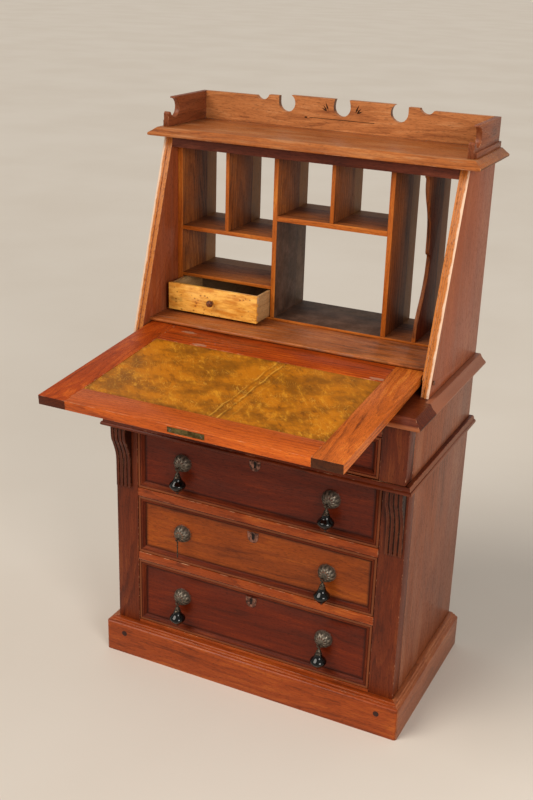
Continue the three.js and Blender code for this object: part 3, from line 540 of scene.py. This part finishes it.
def maple_finish(node="nest_drawer_front"):
    """Polished bird's-eye maple, with the drawer side's dovetails at its ends."""
    material, shader, make = new_material("birds_eye_maple", coat=0.4, coat_roughness=0.12)
    position, normal = make.here()
    low, high = [Vector(corner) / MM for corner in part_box(node)]
    ripple = make.noise(position, (30, 12, 9), 4, 0.65)
    colour = make.mix(make.ease(ripple, 0.34, 0.66), srgb("d38629"), srgb("fcbd55"))
    streak = make.noise(position, (70, 4, 4), 3)
    colour = make.mix(make.math("MULTIPLY", make.ease(streak, 0.5, 0.75), 0.4), colour, srgb("ffd279"))
    away = make.cells(make.vector("ADD", position, make.swing(ripple, 6)), (11, 30, 8.5))
    chosen = make.ease(make.noise(position, (40, 40, 22), 1), 0.44, 0.52)
    eyes = make.math("MULTIPLY", make.ease(away, 0.30, 0.13), chosen)
    colour = make.mix(make.math("MULTIPLY", eyes, 0.8), colour, srgb("97541a"))
    smoke = make.ease(make.noise(position, (36, 36, 20), 3), 0.55, 0.72)
    left = make.ease(make.split(position)[0], low.x + 70, low.x)
    colour = make.darken(colour, make.math("MULTIPLY", smoke, make.math("ADD", left, 0.2)), 0.45)
    x, y, z = make.split(position)
    on_side = make.ease(make.math("ABSOLUTE", make.split(normal)[0]), 0.8, 0.9)
    pitch = (high.z - low.z) / 3
    tail = make.math("ABSOLUTE", make.math("SUBTRACT", make.math("FRACT", make.math(
        "DIVIDE", make.math("SUBTRACT", z, low.z), pitch)), 0.5))
    reach = make.math("MULTIPLY", make.math("SUBTRACT", high.y, y), 0.012)
    dovetail = make.math("MULTIPLY", make.ease(make.math("SUBTRACT", tail, reach), 0.27, 0.25),
                         make.ease(y, low.y + 2.6, low.y + 3.0))
    colour = make.mix(make.math("MULTIPLY", on_side, dovetail), colour, srgb("c79a72"))
    rough = make.math("ADD", 0.26, make.math("MULTIPLY", ripple, 0.12))
    finish_surface(make, shader, colour, rough, make.math("SUBTRACT", ripple, eyes), depth=0.0002, strength=0.25)
    return material


def plain_wood(name, node, grain, palette="plain"):
    material, shader, make = new_material(name)
    position, normal = make.here()
    outs = timber(make, grain_position(make, position, node, grain), palette, figure=0.2, contrast=0.8)
    colour = end_grain(make, outs["Color"], normal, grain)
    dirt = make.ease(make.noise(position, (50, 50, 50), 4, 0.7), 0.5, 0.75)
    colour = make.darken(colour, dirt, 0.4)
    finish_surface(make, shader, colour, make.math("ADD", outs["Roughness"], 0.5), outs["Height"],
                   depth=0.00015, strength=0.4)
    return material


def metal_finish(name, dark, light, size=6.0, rough=0.32, relief=False, metallic=0.92):
    """Old metal: dark in the hollows and in patches, brighter where it is handled."""
    material, shader, make = new_material(name, metallic=metallic)
    position, normal = make.here()
    patches = make.noise(position, (size, size, size), 4, 0.65)
    level = make.ease(patches, 0.36, 0.66)
    if relief:
        raised = make.node("Attribute", attribute_name="relief").outputs["Fac"]
        level = make.math("MULTIPLY", make.math("ADD", level, 0.5), make.ease(raised, 0.25, 0.75))
        level = make.math("MINIMUM", level, 1.0)
    colour = make.mix(level, srgb(dark), srgb(light))
    roughness = make.math("ADD", rough, make.math("MULTIPLY", make.math("SUBTRACT", 1.0, level), 0.25))
    finish_surface(make, shader, colour, roughness, patches, depth=0.0002, strength=0.25)
    return material


def ebony_finish():
    """Glossy black turned wood, faintly brown, with turning marks."""
    material, shader, make = new_material("ebonised", coat=0.8, coat_roughness=0.03, specular=0.1)
    shader.inputs["Coat IOR"].default_value = 1.4
    position, normal = make.here()
    turned = make.noise(position, (60, 60, 1.2), 2)
    colour = make.mix(make.ease(turned, 0.4, 0.7), srgb("010202"), srgb("060807"))
    finish_surface(make, shader, colour, make.math("ADD", 0.10, make.math("MULTIPLY", turned, 0.10)),
                   turned, depth=0.00005, strength=0.15)
    return material


def knob_finish():
    material, shader, make = new_material("knob_wood", coat=0.5, coat_roughness=0.1)
    position, normal = make.here()
    rings = make.noise(position, (4, 14, 2), 3)
    colour = make.mix(make.ease(rings, 0.35, 0.65), srgb("3a180c"), srgb("7d4320"))
    finish_surface(make, shader, colour, make.math("ADD", 0.22, make.math("MULTIPLY", rings, 0.2)),
                   rings, depth=0.0001, strength=0.2)
    return material


def dark_finish(name, tone="0b0705"):
    """Dark finish mottled with lighter patches: painted shade inside keyholes and screw slots, and the own tone of
    the wooden plugs.
    """
    material, shader, make = new_material(name)
    position, normal = make.here()
    dust = make.noise(position, (2, 2, 2), 3)
    finish_surface(make, shader, make.mix(dust, srgb(tone), srgb("1d120c")), make.math("ADD", 0.6, dust))
    return material


BRASS = metal_finish("aged_brass", "4a3c1e", "75683f", size=16, rough=0.42)
PEWTER = metal_finish("pressed_metal", "241d16", "7d7264", size=5, rough=0.34, relief=True, metallic=0.6)
CAP = metal_finish("cap_metal", "1b150f", "5d5244", size=3, rough=0.28, metallic=0.7)
BRONZE = metal_finish("bronze", "3b2016", "946350", size=7, rough=0.38, metallic=0.45)
STEEL = metal_finish("screw_steel", "3b342b", "8e8677", size=2, rough=0.35)
EBONY = ebony_finish()
# painted shade: the dark sheet seen through keyholes and in screw slots
HOLE_SHADE = dark_finish("keyhole_painted_shade")
PLUG = dark_finish("plug_wood", "3c170b")


# ------------------------------------------------------------------ CAD nodes: bevels, smooth shading, materials
def smooth_group():
    """Geometry nodes that shade smooth across gentle angles and keep the arrises sharp."""
    group = bpy.data.node_groups.new("smooth_by_angle", "GeometryNodeTree")
    group.interface.new_socket("Geometry", in_out="INPUT", socket_type="NodeSocketGeometry")
    group.interface.new_socket("Geometry", in_out="OUTPUT", socket_type="NodeSocketGeometry")
    nodes, links = group.nodes, group.links
    start, end = nodes.new("NodeGroupInput"), nodes.new("NodeGroupOutput")
    faces = nodes.new("GeometryNodeSetShadeSmooth")
    edges = nodes.new("GeometryNodeSetShadeSmooth")
    edges.domain = "EDGE"
    edges.inputs["Shade Smooth"].default_value = False
    angle = nodes.new("GeometryNodeInputMeshEdgeAngle")
    sharp = nodes.new("FunctionNodeCompare")
    sharp.operation = "GREATER_THAN"
    sharp.inputs[1].default_value = math.radians(32)
    links.new(start.outputs[0], faces.inputs["Geometry"])
    links.new(faces.outputs[0], edges.inputs["Geometry"])
    links.new(angle.outputs["Unsigned Angle"], sharp.inputs[0])
    links.new(sharp.outputs[0], edges.inputs["Selection"])
    links.new(edges.outputs[0], end.inputs[0])
    return group


SMOOTH = smooth_group()


def dress(node, material, edge=None, bevel=1.0):
    """Gives a CAD node its material, eased arrises and smooth curves."""
    piece = NODES[node]
    piece.data.materials.clear()
    piece.data.materials.append(material)
    if edge:
        piece.data.materials.append(edge)
    weld = piece.modifiers.new("weld", "WELD")
    weld.merge_threshold = 0.00001
    flat = piece.modifiers.new("flat", "DECIMATE")
    flat.decimate_type = "DISSOLVE"
    flat.angle_limit = math.radians(0.5)
    if bevel:
        rounding = piece.modifiers.new("bevel", "BEVEL")
        rounding.width = bevel * MM
        rounding.segments = 2
        rounding.limit_method = "ANGLE"
        rounding.angle_limit = math.radians(50)
        rounding.material = 1 if edge else -1
        rounding.harden_normals = False
    shade = piece.modifiers.new("smooth", "NODES")
    shade.node_group = SMOOTH


def dress_walnut(node, palette, grain, bevel=1.0, worn=0.4, **looks):
    edge = walnut(node, palette, grain, worn=worn, **looks) if worn else None
    dress(node, walnut(node, palette, grain, **looks), edge, bevel)


def dress_case():
    dress_walnut("plinth_front", "rail", "X", worn=0.6, ring=12)
    dress_walnut("waist_board", "red", "X", worn=0)
    dress_walnut("waist_moulding", "red", "X", worn=0.35, bevel=0.6, extra=dusty_ends)
    dress_walnut("desk_board", "red", "X", worn=0.35, bevel=0.6, extra=pieced_moulding)
    dress_walnut("bottom_board", "rail", "X", worn=0.3)
    dress_walnut("drawer_divider_lower", "rail", "X", worn=0.5, figure=0.2)
    dress_walnut("drawer_divider_upper", "rail", "X", worn=0.5, figure=0.2)
    dress_walnut("top_board", "top", "X", worn=0.5, bevel=0.8, gloss=0.38, extra=scuffed_top)
    dress_walnut("top_rail", "plum", "X", worn=0)
    dress_walnut("gallery_back", "gallery", "X", worn=0, bevel=0, extra=carved)
    dress("lower_back", plain_wood("back_boards", "lower_back", "Z", "inside"), bevel=0.5)
    for side in ("left", "right"):
        dress_walnut(f"plinth_{side}", "dusty", "Y", worn=0.6)
        dress_walnut(f"lower_side_{side}", "faded", "Z", worn=0.4, contrast=0.9, extra=streaky_side)
        dress_walnut(f"stile_{side}", "red", "Z", worn=0.3)
        dress_walnut(f"frieze_stile_{side}", "red", "Z", worn=0.3)
        dress_walnut(f"corbel_{side}", "red", "Z", worn=0.45, bevel=0.8, extra=reeded)
        dress_walnut(f"slant_side_{side}", "slant", "Z", worn=0.75, contrast=0.6, figure=0.12, extra=worn_slope)
        dress_walnut(f"gallery_{side}", "faded", "Y", worn=0.4, bevel=0.7, ends=0.15)


def dress_nest():
    dress_walnut("writing_ledge", "ledge", "X", worn=0.4, bevel=0.4, gloss=0.45, extra=stained_ledge)
    low, high = [Vector(corner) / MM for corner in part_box("partition_left")]
    right_face = ((high.x - 1.5, None, None), (None, None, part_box("letter_shelf_right")[0][2] / MM))
    centre_floor = ((high.x, None, None), (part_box("partition_right")[0][0] / MM, None, None))
    stains = {"partition_left": right_face, "nest_base": centre_floor}
    boards = {"nest_side_left": "Z", "partition_left": "Z", "partition_right": "Z", "nest_base": "X",
              "letter_shelf_left": "X", "letter_shelf_right": "X", "drawer_shelf": "X",
              "letter_divider_left": "Z", "letter_divider_right": "Z"}
    for node, grain in boards.items():
        dress(node, nest_finish(node, grain, stains.get(node)), bevel=0.7)
    dress("ledger_divider", nest_finish("ledger_divider", "Z"), bevel=0.6)
    dress("nest_drawer_front", maple_finish(), bevel=0.8)
    dress("nest_drawer_box", plain_wood("nest_box_wood", "nest_drawer_box", "Y"), bevel=0.5)
    dress("nest_drawer_knob", knob_finish(), bevel=0)


def dress_flap():
    dress_walnut("flap_stile_left", "flap dark", "Y", worn=0.4, ends=0.8)
    dress_walnut("flap_stile_right", "flap light", "Y", worn=0.45, ends=0.88)
    dress_walnut("flap_rail_front", "orange", "X", worn=0.45)
    dress_walnut("flap_rail_rear", "flap dark", "X", worn=0.4, figure=0.25, extra=scuffed_rail)
    for node in ("flap_lock", "flap_lock_bolt", "flap_pivot_left", "flap_pivot_right"):
        dress(node, BRASS, bevel=0.3)


def dress_drawers():
    looks = {"frieze": "deep", "upper": "deep", "middle": "panel", "lower": "deep"}
    for word, palette in looks.items():
        dress(f"drawer_{word}", drawer_finish(word, palette), bevel=0.5)


# ------------------------------------------------------------------ mesh pieces
class Shape:
    """Gathers points and faces, each face with the index of its material."""

    def __init__(self):
        self.points = []
        self.faces = []
        self.slots = []

    def add(self, points, faces, slot=0, place=None):
        start = len(self.points)
        for point in points:
            self.points.append(place @ Vector(point) if place else Vector(point))
        for face in faces:
            self.faces.append([start + i for i in face])
            self.slots.append(slot)

    def lathe(self, profile, place, slot=0, segments=40, bulge=None):
        """Profile of (radius, height) turned about the place's z axis; it starts and ends on the axis."""
        points = [(0, 0, profile[0][1])]
        for k in range(1, len(profile) - 1):
            radius, height = profile[k]
            slope = Vector(profile[k + 1]) - Vector(profile[k - 1])
            out = Vector((slope.y, -slope.x)).normalized() if slope.length else Vector((0, 1))
            for i in range(segments):
                angle = 2 * math.pi * i / segments
                lift = bulge(k, angle) if bulge else 0.0
                reach = radius + lift * out.x
                points.append((reach * math.cos(angle), reach * math.sin(angle), height + lift * out.y))
        points.append((0, 0, profile[-1][1]))
        rows = len(profile) - 2
        faces = [(0, 1 + (i + 1) % segments, 1 + i) for i in range(segments)]
        for row in range(rows - 1):
            a, b = 1 + row * segments, 1 + (row + 1) * segments
            for i in range(segments):
                j = (i + 1) % segments
                faces.append((a + i, a + j, b + j, b + i))
        last = 1 + (rows - 1) * segments
        end = len(points) - 1
        faces += [(last + i, last + (i + 1) % segments, end) for i in range(segments)]
        self.add(points, faces, slot, place)

    def ring(self, radius, wire, place, slot=0, around=28, tube=10):
        """Torus about the place's z axis."""
        points = []
        for i in range(around):
            turn = 2 * math.pi * i / around
            for j in range(tube):
                roll = 2 * math.pi * j / tube
                reach = radius + wire * math.cos(roll)
                points.append((reach * math.cos(turn), reach * math.sin(turn), wire * math.sin(roll)))
        faces = []
        for i in range(around):
            for j in range(tube):
                a, b = i * tube, (i + 1) % around * tube
                k = (j + 1) % tube
                faces.append((a + j, b + j, b + k, a + k))
        self.add(points, faces, slot, place)

    def plate(self, outline, thick, place, slot=0):
        """Flat plate of an outline in x, y, from z = 0 up to its thickness."""
        count = len(outline)
        points = [(x, y, 0) for x, y in outline] + [(x, y, thick) for x, y in outline]
        faces = [tuple(reversed(range(count))), tuple(range(count, 2 * count))]
        faces += [(i, (i + 1) % count, count + (i + 1) % count, count + i) for i in range(count)]
        self.add(points, faces, slot, place)

    def build(self, name, body, materials, smooth=40):
        mesh = bpy.data.meshes.new(name)
        mesh.from_pydata([tuple(p) for p in self.points], [], self.faces)
        for material in materials:
            mesh.materials.append(material)
        mesh.polygons.foreach_set("material_index", self.slots)
        work = bmesh.new()
        work.from_mesh(mesh)
        bmesh.ops.recalc_face_normals(work, faces=work.faces)
        work.to_mesh(mesh)
        work.free()
        mesh.shade_smooth()
        mesh.set_sharp_from_angle(angle=math.radians(smooth))
        piece = bpy.data.objects.new(name, mesh)
        SCENE.collection.objects.link(piece)
        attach(piece, body)
        return piece


def facing_front(x, y, z, scale=MM):
    """Placement whose z axis looks out of the front, with its x to the right and its y up."""
    turn = Matrix(((1, 0, 0), (0, 0, -1), (0, 1, 0))).to_4x4()
    return Matrix.Translation((x, y, z)) @ turn @ Matrix.Scale(scale, 4)


def arc(centre, radius, start, end, steps):
    angles = [math.radians(start + (end - start) * i / steps) for i in range(steps + 1)]
    return [(centre[0] + radius * math.cos(a), centre[1] + radius * math.sin(a)) for a in angles]


def curve_points(controls, steps):
    """Smooth run of points through a few controls (Catmull-Rom)."""
    points = []
    for i in range(len(controls) - 1):
        before = Vector(controls[max(i - 1, 0)])
        a, b = Vector(controls[i]), Vector(controls[i + 1])
        after = Vector(controls[min(i + 2, len(controls) - 1)])
        for k in range(steps):
            t = k / steps
            points.append(0.5 * (2 * a + (b - before) * t + (2 * before - 5 * a + 4 * b - after) * t * t
                                 + (3 * a - before - 3 * b + after) * t ** 3))
    points.append(Vector(controls[-1]))
    return points


# ------------------------------------------------------------------ pulls
PULL_SIZE = {"frieze": 0.75, "upper": 1.0, "middle": 1.0, "lower": 1.0}
STUD_R = 1.6
PLATE_RISE = 4.0                            # the dome's middle above the stud
DROP_WIRE = 1.1
BARE_WIRE = 0.8


def has_drop(word, side):
    return (word, side) != ("middle", "left")


def hinge_of(word, side):
    """Where the eye of a pull hangs on its stud."""
    node, wire = (f"drop_{word}_{side}", DROP_WIRE) if has_drop(word, side) else (f"wire_{word}_{side}", BARE_WIRE)
    low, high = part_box(node)
    return Vector(((low[0] + high[0]) / 2, (low[1] + high[1]) / 2, high[2] - wire * MM))


def dome_profile(size):
    """A deep dome on a thin plain rim, with a small boss on top."""
    controls = [(20.9, 0.2), (21, 1.2), (20.4, 2.4), (19.8, 4.4), (18.8, 7.4), (17.0, 10.8), (14.4, 14.0),
                (11.2, 16.6), (8.0, 18.2), (6.2, 18.9), (5.9, 19.5), (5.0, 20.0), (3.0, 20.2)]
    return [(p.x * size, p.y * size) for p in curve_points(controls, 3)]


def dome_relief(rows, size):
    """Small leaves pressed in rows over the dome: height of the pressing at a row and an angle."""
    def lift(row, angle):
        share = row / rows
        if share < 0.2:
            return 0.0
        climb = (share - 0.2) / 0.8
        fade = math.sin(math.pi * min(1.0, climb * 1.08)) ** 0.7 if climb * 1.08 < 1 else 0.0
        leaf = math.cos(11 * angle + 2.2 * climb) * math.cos(11.5 * climb)
        vein = 0.35 * math.cos(33 * angle + 5 * climb)
        return 0.42 * size * fade * (leaf + vein)
    return lift


def make_plate(word, side):
    """Pressed domed plate, with the stud that carries the drop."""
    size = PULL_SIZE[word]
    hinge = hinge_of(word, side)
    panel = (FRIEZE_FACE if word == "frieze" else FACE) + PANEL_RECESS
    wire = DROP_WIRE if has_drop(word, side) else BARE_WIRE
    stud_height = hinge.z - (STUD_R + 0.3 + wire) * MM
    place = facing_front(hinge.x, panel, stud_height + PLATE_RISE * size * MM)
    rim = dome_profile(size)
    profile = [(0, 0.05)] + rim + [(0, rim[-1][1])]
    lift = dome_relief(len(rim), size)
    segments = 96
    shape = Shape()
    shape.lathe(profile, place, 0, segments=segments, bulge=lift)
    pressed = [0.5] + [0.5 + 0.45 * lift(k, 2 * math.pi * i / segments) / size
                       for k in range(1, len(rim) + 1) for i in range(segments)] + [0.9]
    stud = [(0, 8 * size), (1.75, 8 * size), (1.75, 26.6), (2.4, 27.0), (3.3, 27.7), (3.4, 29.0), (2.6, 30.2),
            (0, 30.8)]
    shape.lathe(stud, facing_front(hinge.x, panel, stud_height), 1, segments=24)
    piece = shape.build(f"pull_plate_{word}_{side}", f"{word}_drawer", [PEWTER, CAP])
    relief = piece.data.attributes.new("relief", "FLOAT", "POINT")
    relief.data.foreach_set("value", pressed + [0.6] * (len(piece.data.vertices) - len(pressed)))


def make_drop(word, side):
    """Turned ebonised drop with a metal cap and the wire eye it hangs by."""
    node = f"drop_{word}_{side}"
    size = PULL_SIZE[word]
    hinge = hinge_of(word, side)
    neck = Matrix.Translation((0, 0, -9))
    place = Matrix.Translation(hinge) @ Matrix.Scale(MM, 4) @ neck @ Matrix.Scale(size, 4) @ neck.inverted()
    belly = [(2.9, -59.9), (4.9, -58.8), (8.8, -55.8), (12.9, -51.4), (16.4, -46.4), (18.1, -42.4), (17.0, -38.6),
             (13.8, -34.6), (10.5, -30.8), (8.6, -27.2), (8.0, -25.2), (7.4, -23.4)]
    turned = [(0, -63), (1.7, -62.7), (2.9, -61.6), (3.0, -60.8)]
    turned += [tuple(p) for p in curve_points(belly, 3)] + [(0, -23.0)]
    shape = Shape()
    shape.lathe(turned, place, 0, segments=48)
    cap = [(0, -24.0), (7.3, -23.7), (7.5, -22.6), (6.4, -21.2), (5.0, -19.8), (4.6, -19.0), (5.6, -17.8),
           (5.5, -16.2), (3.6, -14.2), (2.5, -12.0), (2.0, -9.6), (0, -9.0)]
    shape.lathe(cap, place, 1, segments=28)
    upright = Matrix.Translation(hinge) @ Matrix.Scale(MM, 4) @ Matrix.Translation((0, 0, -4.7))
    shape.ring(4.7, DROP_WIRE, upright @ Matrix.Rotation(math.radians(90), 4, "X"), 1)
    piece = shape.build(f"turned_{node}", f"{word}_{side}_pull", [EBONY, CAP])
    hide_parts(node)


def make_pulls():
    for word in DRAWERS:
        for side in ("left", "right"):
            make_plate(word, side)
            if has_drop(word, side):
                make_drop(word, side)
    dress("wire_middle_left", CAP, bevel=0)


# ------------------------------------------------------------------ small metalwork and plugs
def spokes(outline, count=72):
    """Points of an outline met by evenly turned rays from its middle."""
    met = []
    for k in range(count):
        ray = Vector((math.cos(2 * math.pi * k / count), math.sin(2 * math.pi * k / count)))
        best = None
        for a, b in zip(outline, outline[1:] + outline[:1]):
            a, b = Vector(a), Vector(b)
            cross = ray.cross(b - a)
            if abs(cross) < 1e-9:
                continue
            reach, along = a.cross(b - a) / cross, a.cross(ray) / cross
            if reach > 0 and -1e-6 <= along <= 1 + 1e-6:
                best = reach if best is None else max(best, reach)
        met.append(ray * best)
    return met


def make_escutcheon(word):
    """Shield-shaped keyhole plate with a swelling rim, in the upper part of the panel."""
    face = FRIEZE_FACE if word == "frieze" else FACE
    drop = 26 if word == "frieze" else 31
    place = facing_front(-1.5 * MM, face + PANEL_RECESS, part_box(f"drawer_{word}")[1][2] - drop * MM)
    small = 0.8 if word == "frieze" else 1.0
    shield = arc((0, -1.4), 12.4, 190, 350, 24) + [(12.9, 4), (13.2, 11.4), (7, 10.6), (0, 12.2), (-7, 10.6),
                                                  (-13.2, 11.4), (-12.9, 4)]
    keyhole = arc((0, 4.6), 3.9, -52, 232, 20) + [(-2.3, -6.8), (2.3, -6.8)]
    outer, key = spokes(shield), spokes(keyhole)
    levels = [(0.0, 0.05), (0.0, 1.2), (0.1, 2.2), (0.35, 2.7), (0.62, 2.2), (0.9, 1.3), (1.0, 1.1), (1.0, 0.1)]
    rings = [[(*((o * (1 - share) + k * share) * small), height) for o, k in zip(outer, key)]
             for share, height in levels]
    count = len(outer)
    walls = [(r * count + i, r * count + (i + 1) % count, (r + 1) * count + (i + 1) % count, (r + 1) * count + i)
             for r in range(len(rings) - 1) for i in range(count)]
    shape = Shape()
    shape.add([p for ring in rings for p in ring], walls, 0, place)
    # painted shade: a dark sheet behind the keyhole
    shape.plate([(p.x * small * 0.9, p.y * small * 0.9) for p in outer], 0.25, place, 1)
    shape.build(f"escutcheon_{word}", f"{word}_drawer", [BRONZE, HOLE_SHADE])


def screw(shape, place, radius, slot_turn=20.0, index=0, dark=1):
    """Slotted screw head: two halves of a low dome either side of a slot."""
    gap = 0.16 * radius
    turn = Matrix.Rotation(math.radians(slot_turn), 4, "Z")
    start = math.degrees(math.asin(gap / radius))
    for flip in (0, 180):
        half = Matrix.Rotation(math.radians(flip), 4, "Z")
        edge = arc((0, 0), radius, start, 180 - start, 12)
        inner = [(x * 0.82, max(y * 0.82, gap)) for x, y in edge]
        count = len(edge)
        points = [(x, y, 0) for x, y in edge] + [(x, y, 0.4 * radius * 0.4) for x, y in edge]
        points += [(x, y, 0.26 * radius) for x, y in inner]
        faces = []
        for ring in range(2):
            for i in range(count - 1):
                a = ring * count + i
                faces.append((a, a + 1, a + 1 + count, a + count))
        faces.append(tuple(range(2 * count, 3 * count)))
        faces.append((0, count, 2 * count, 3 * count - 1, 2 * count - 1, count - 1))
        shape.add(points, faces, index, place @ turn @ half)
    # painted shade: a dark disc under the slot
    shape.plate(arc((0, 0), radius * 0.96, 0, 345, 23), 0.06 * radius, place @ turn, dark)


def make_flap_metalwork():
    low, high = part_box("flap_lock")
    tilt = math.radians(4.7)
    out = Vector((0, -math.cos(tilt), -math.sin(tilt)))
    up = Vector((0, -math.sin(tilt), math.cos(tilt)))
    hub = Vector((0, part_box("flap_pivot_left")[0][1] + 4.4 * MM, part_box("flap_pivot_left")[0][2] + 4.4 * MM))
    centre = hub + out * 390 * MM + Vector(((low[0] + high[0]) / 2, 0, 0))
    basis = Matrix((Vector((1, 0, 0)), up, out)).transposed().to_4x4()
    shape = Shape()
    for side in (-1, 1):
        place = Matrix.Translation(centre + Vector((side * 32 * MM, 0, 0))) @ basis @ Matrix.Scale(MM, 4)
        screw(shape, place, 2.6, 35 * side)
    shape.build("flap_lock_screws", "flap", [STEEL, HOLE_SHADE])
    for side, word in ((-1, "left"), (1, "right")):
        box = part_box(f"flap_pivot_{word}")
        x = box[0][0] if side < 0 else box[1][0]
        turn = Matrix.Rotation(math.radians(90 * side), 4, "Y")
        place = Matrix.Translation((x - side * 0.1 * MM, hub.y, hub.z)) @ turn @ Matrix.Scale(MM, 4)
        shape = Shape()
        screw(shape, place, 4.6, 30)
        shape.build(f"pivot_screw_{word}", "case", [BRONZE, HOLE_SHADE])


def make_plugs():
    """Wooden plugs over the screws of the plinth's front board."""
    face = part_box("plinth_front")[0][1]
    shape = Shape()
    for x in (-312, 312):
        profile = [(0, -0.4), (6.3, -0.4), (6.5, 0.15), (5.6, 0.5), (0, 0.6)]
        shape.lathe(profile, facing_front(x * MM, face, 52.5 * MM), 0, segments=28)
    shape.build("plinth_plugs", "case", [PLUG])


# ------------------------------------------------------------------ leather
def make_leather():
    """The hide laid in the flap: a fine sheet with a few real creases, thickened down to its bed."""
    low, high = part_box("flap_leather")
    tilt = math.radians(4.7)
    half = (high[0] - low[0]) / 2 / MM
    length = 270.4
    hub = Vector((0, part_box("flap_pivot_left")[0][1] + 4.4 * MM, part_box("flap_pivot_left")[0][2] + 4.4 * MM))
    place = Matrix.Translation(hub) @ Matrix.Rotation(tilt, 4, "X") @ Matrix.Scale(MM, 4)
    rear = -57.3
    creases = [((46, -70), (37, -320)), ((30, -78), (21, -300)), ((96, -66), (70, -120)), ((-60, -110), (-96, -170)),
               ((150, -200), (120, -300))]
    columns, rows = 168, 92
    points = []
    for j in range(rows + 1):
        for i in range(columns + 1):
            x = -half + 2 * half * i / columns
            y = rear - length * j / rows
            lift = 0.0
            for (ax, ay), (bx, by) in creases:
                a, b, p = Vector((ax, ay)), Vector((bx, by)), Vector((x, y))
                share = min(1.0, max(0.0, (p - a).dot(b - a) / (b - a).length_squared))
                away = (p - (a + (b - a) * share)).length + 1.6 * math.sin(0.13 * y + 0.05 * ax)
                lift += 0.42 * math.exp(-(away / 2.6) ** 2) * math.sin(math.pi * min(1.0, 0.1 + 0.8 * share))
            lift += 0.10 * math.sin(0.11 * x + 0.06 * y) * math.sin(0.07 * y - 0.05 * x)
            edge = min(i, columns - i, j, rows - j) / 3
            points.append((x, y, 8.72 + lift * min(1.0, edge)))
    shape = Shape()
    faces = []
    width = columns + 1
    for j in range(rows):
        for i in range(columns):
            a = j * width + i
            faces.append((a, a + 1, a + 1 + width, a + width))
    rim = list(range(0, width)) + [j * width + columns for j in range(1, rows + 1)]
    rim += [rows * width + i for i in range(columns - 1, -1, -1)] + [j * width for j in range(rows - 1, 0, -1)]
    base = len(points)
    points += [(points[i][0], points[i][1], 6.85) for i in rim]
    for k in range(len(rim)):
        n = (k + 1) % len(rim)
        faces.append((rim[k], rim[n], base + n, base + k))
    faces.append(tuple(range(base, base + len(rim))))
    shape.add(points, faces, 0, place)
    piece = shape.build("writing_leather", "flap", [leather_finish()], smooth=60)
    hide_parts("flap_leather")


# ------------------------------------------------------------------ camera, light and stage
def make_camera():
    place = Vector((0.9384, BACK - 2.2998, 1.5490))
    forward = Vector((-0.40048, 0.83704, -0.37279))
    data = bpy.data.cameras.new("camera")
    data.sensor_fit = "VERTICAL"
    data.sensor_height = 36
    data.lens = 51.14
    camera = bpy.data.objects.new("camera", data)
    SCENE.collection.objects.link(camera)
    turn = forward.to_track_quat("-Z", "Y").to_matrix().to_4x4()
    camera.matrix_world = Matrix.Translation(place) @ turn @ Matrix.Rotation(math.radians(1.79), 4, "Z")
    SCENE.camera = camera


def add_area(name, place, aim, size, power, colour):
    data = bpy.data.lights.new(name, "AREA")
    data.shape = "RECTANGLE"
    data.size, data.size_y = size
    data.energy = power
    data.color = colour
    light = bpy.data.objects.new(name, data)
    SCENE.collection.objects.link(light)
    light.location = place
    light.rotation_euler = (Vector(aim) - Vector(place)).to_track_quat("-Z", "Y").to_euler()


def make_lights():
    data = bpy.data.lights.new("key", "SUN")
    data.energy = 2.08
    data.angle = math.radians(36)
    data.color = (1.0, 0.93, 0.84)
    key = bpy.data.objects.new("key", data)
    SCENE.collection.objects.link(key)
    key.rotation_euler = Vector((0.50, 0.66, -0.80)).to_track_quat("-Z", "Y").to_euler()
    add_area("fill", (2.7, -2.2, 2.0), (0, 0, 0.6), (1.4, 1.4), 62, (1.0, 0.95, 0.90))
    world = bpy.data.worlds.new("studio")
    SCENE.world = world
    world.use_nodes = True
    background = world.node_tree.nodes["Background"]
    background.inputs["Color"].default_value = (0.84, 0.80, 0.75, 1)
    background.inputs["Strength"].default_value = 0.51


def make_floor():
    """Pale painted floor, faintly clouded."""
    mesh = bpy.data.meshes.new("floor")
    size = 60
    mesh.from_pydata([(-size, -size, 0), (size, -size, 0), (size, size, 0), (-size, size, 0)], [], [(0, 1, 2, 3)])
    floor = bpy.data.objects.new("floor", mesh)
    SCENE.collection.objects.link(floor)
    material, shader, make = new_material("floor")
    position, normal = make.here()
    cloud = make.noise(position, (900, 900, 900), 4, 0.5)
    colour = make.mix(make.ease(cloud, 0.3, 0.7), srgb("d5cdc2"), srgb("dad3c9"))
    finish_surface(make, shader, colour, 0.75)
    mesh.materials.append(material)


SCENE.view_settings.view_transform = "Standard"
make_camera()
make_lights()
make_floor()
dress_case()
dress_nest()
dress_flap()
dress_drawers()
make_pulls()
for drawer in DRAWERS:
    make_escutcheon(drawer)
make_flap_metalwork()
make_plugs()
make_leather()
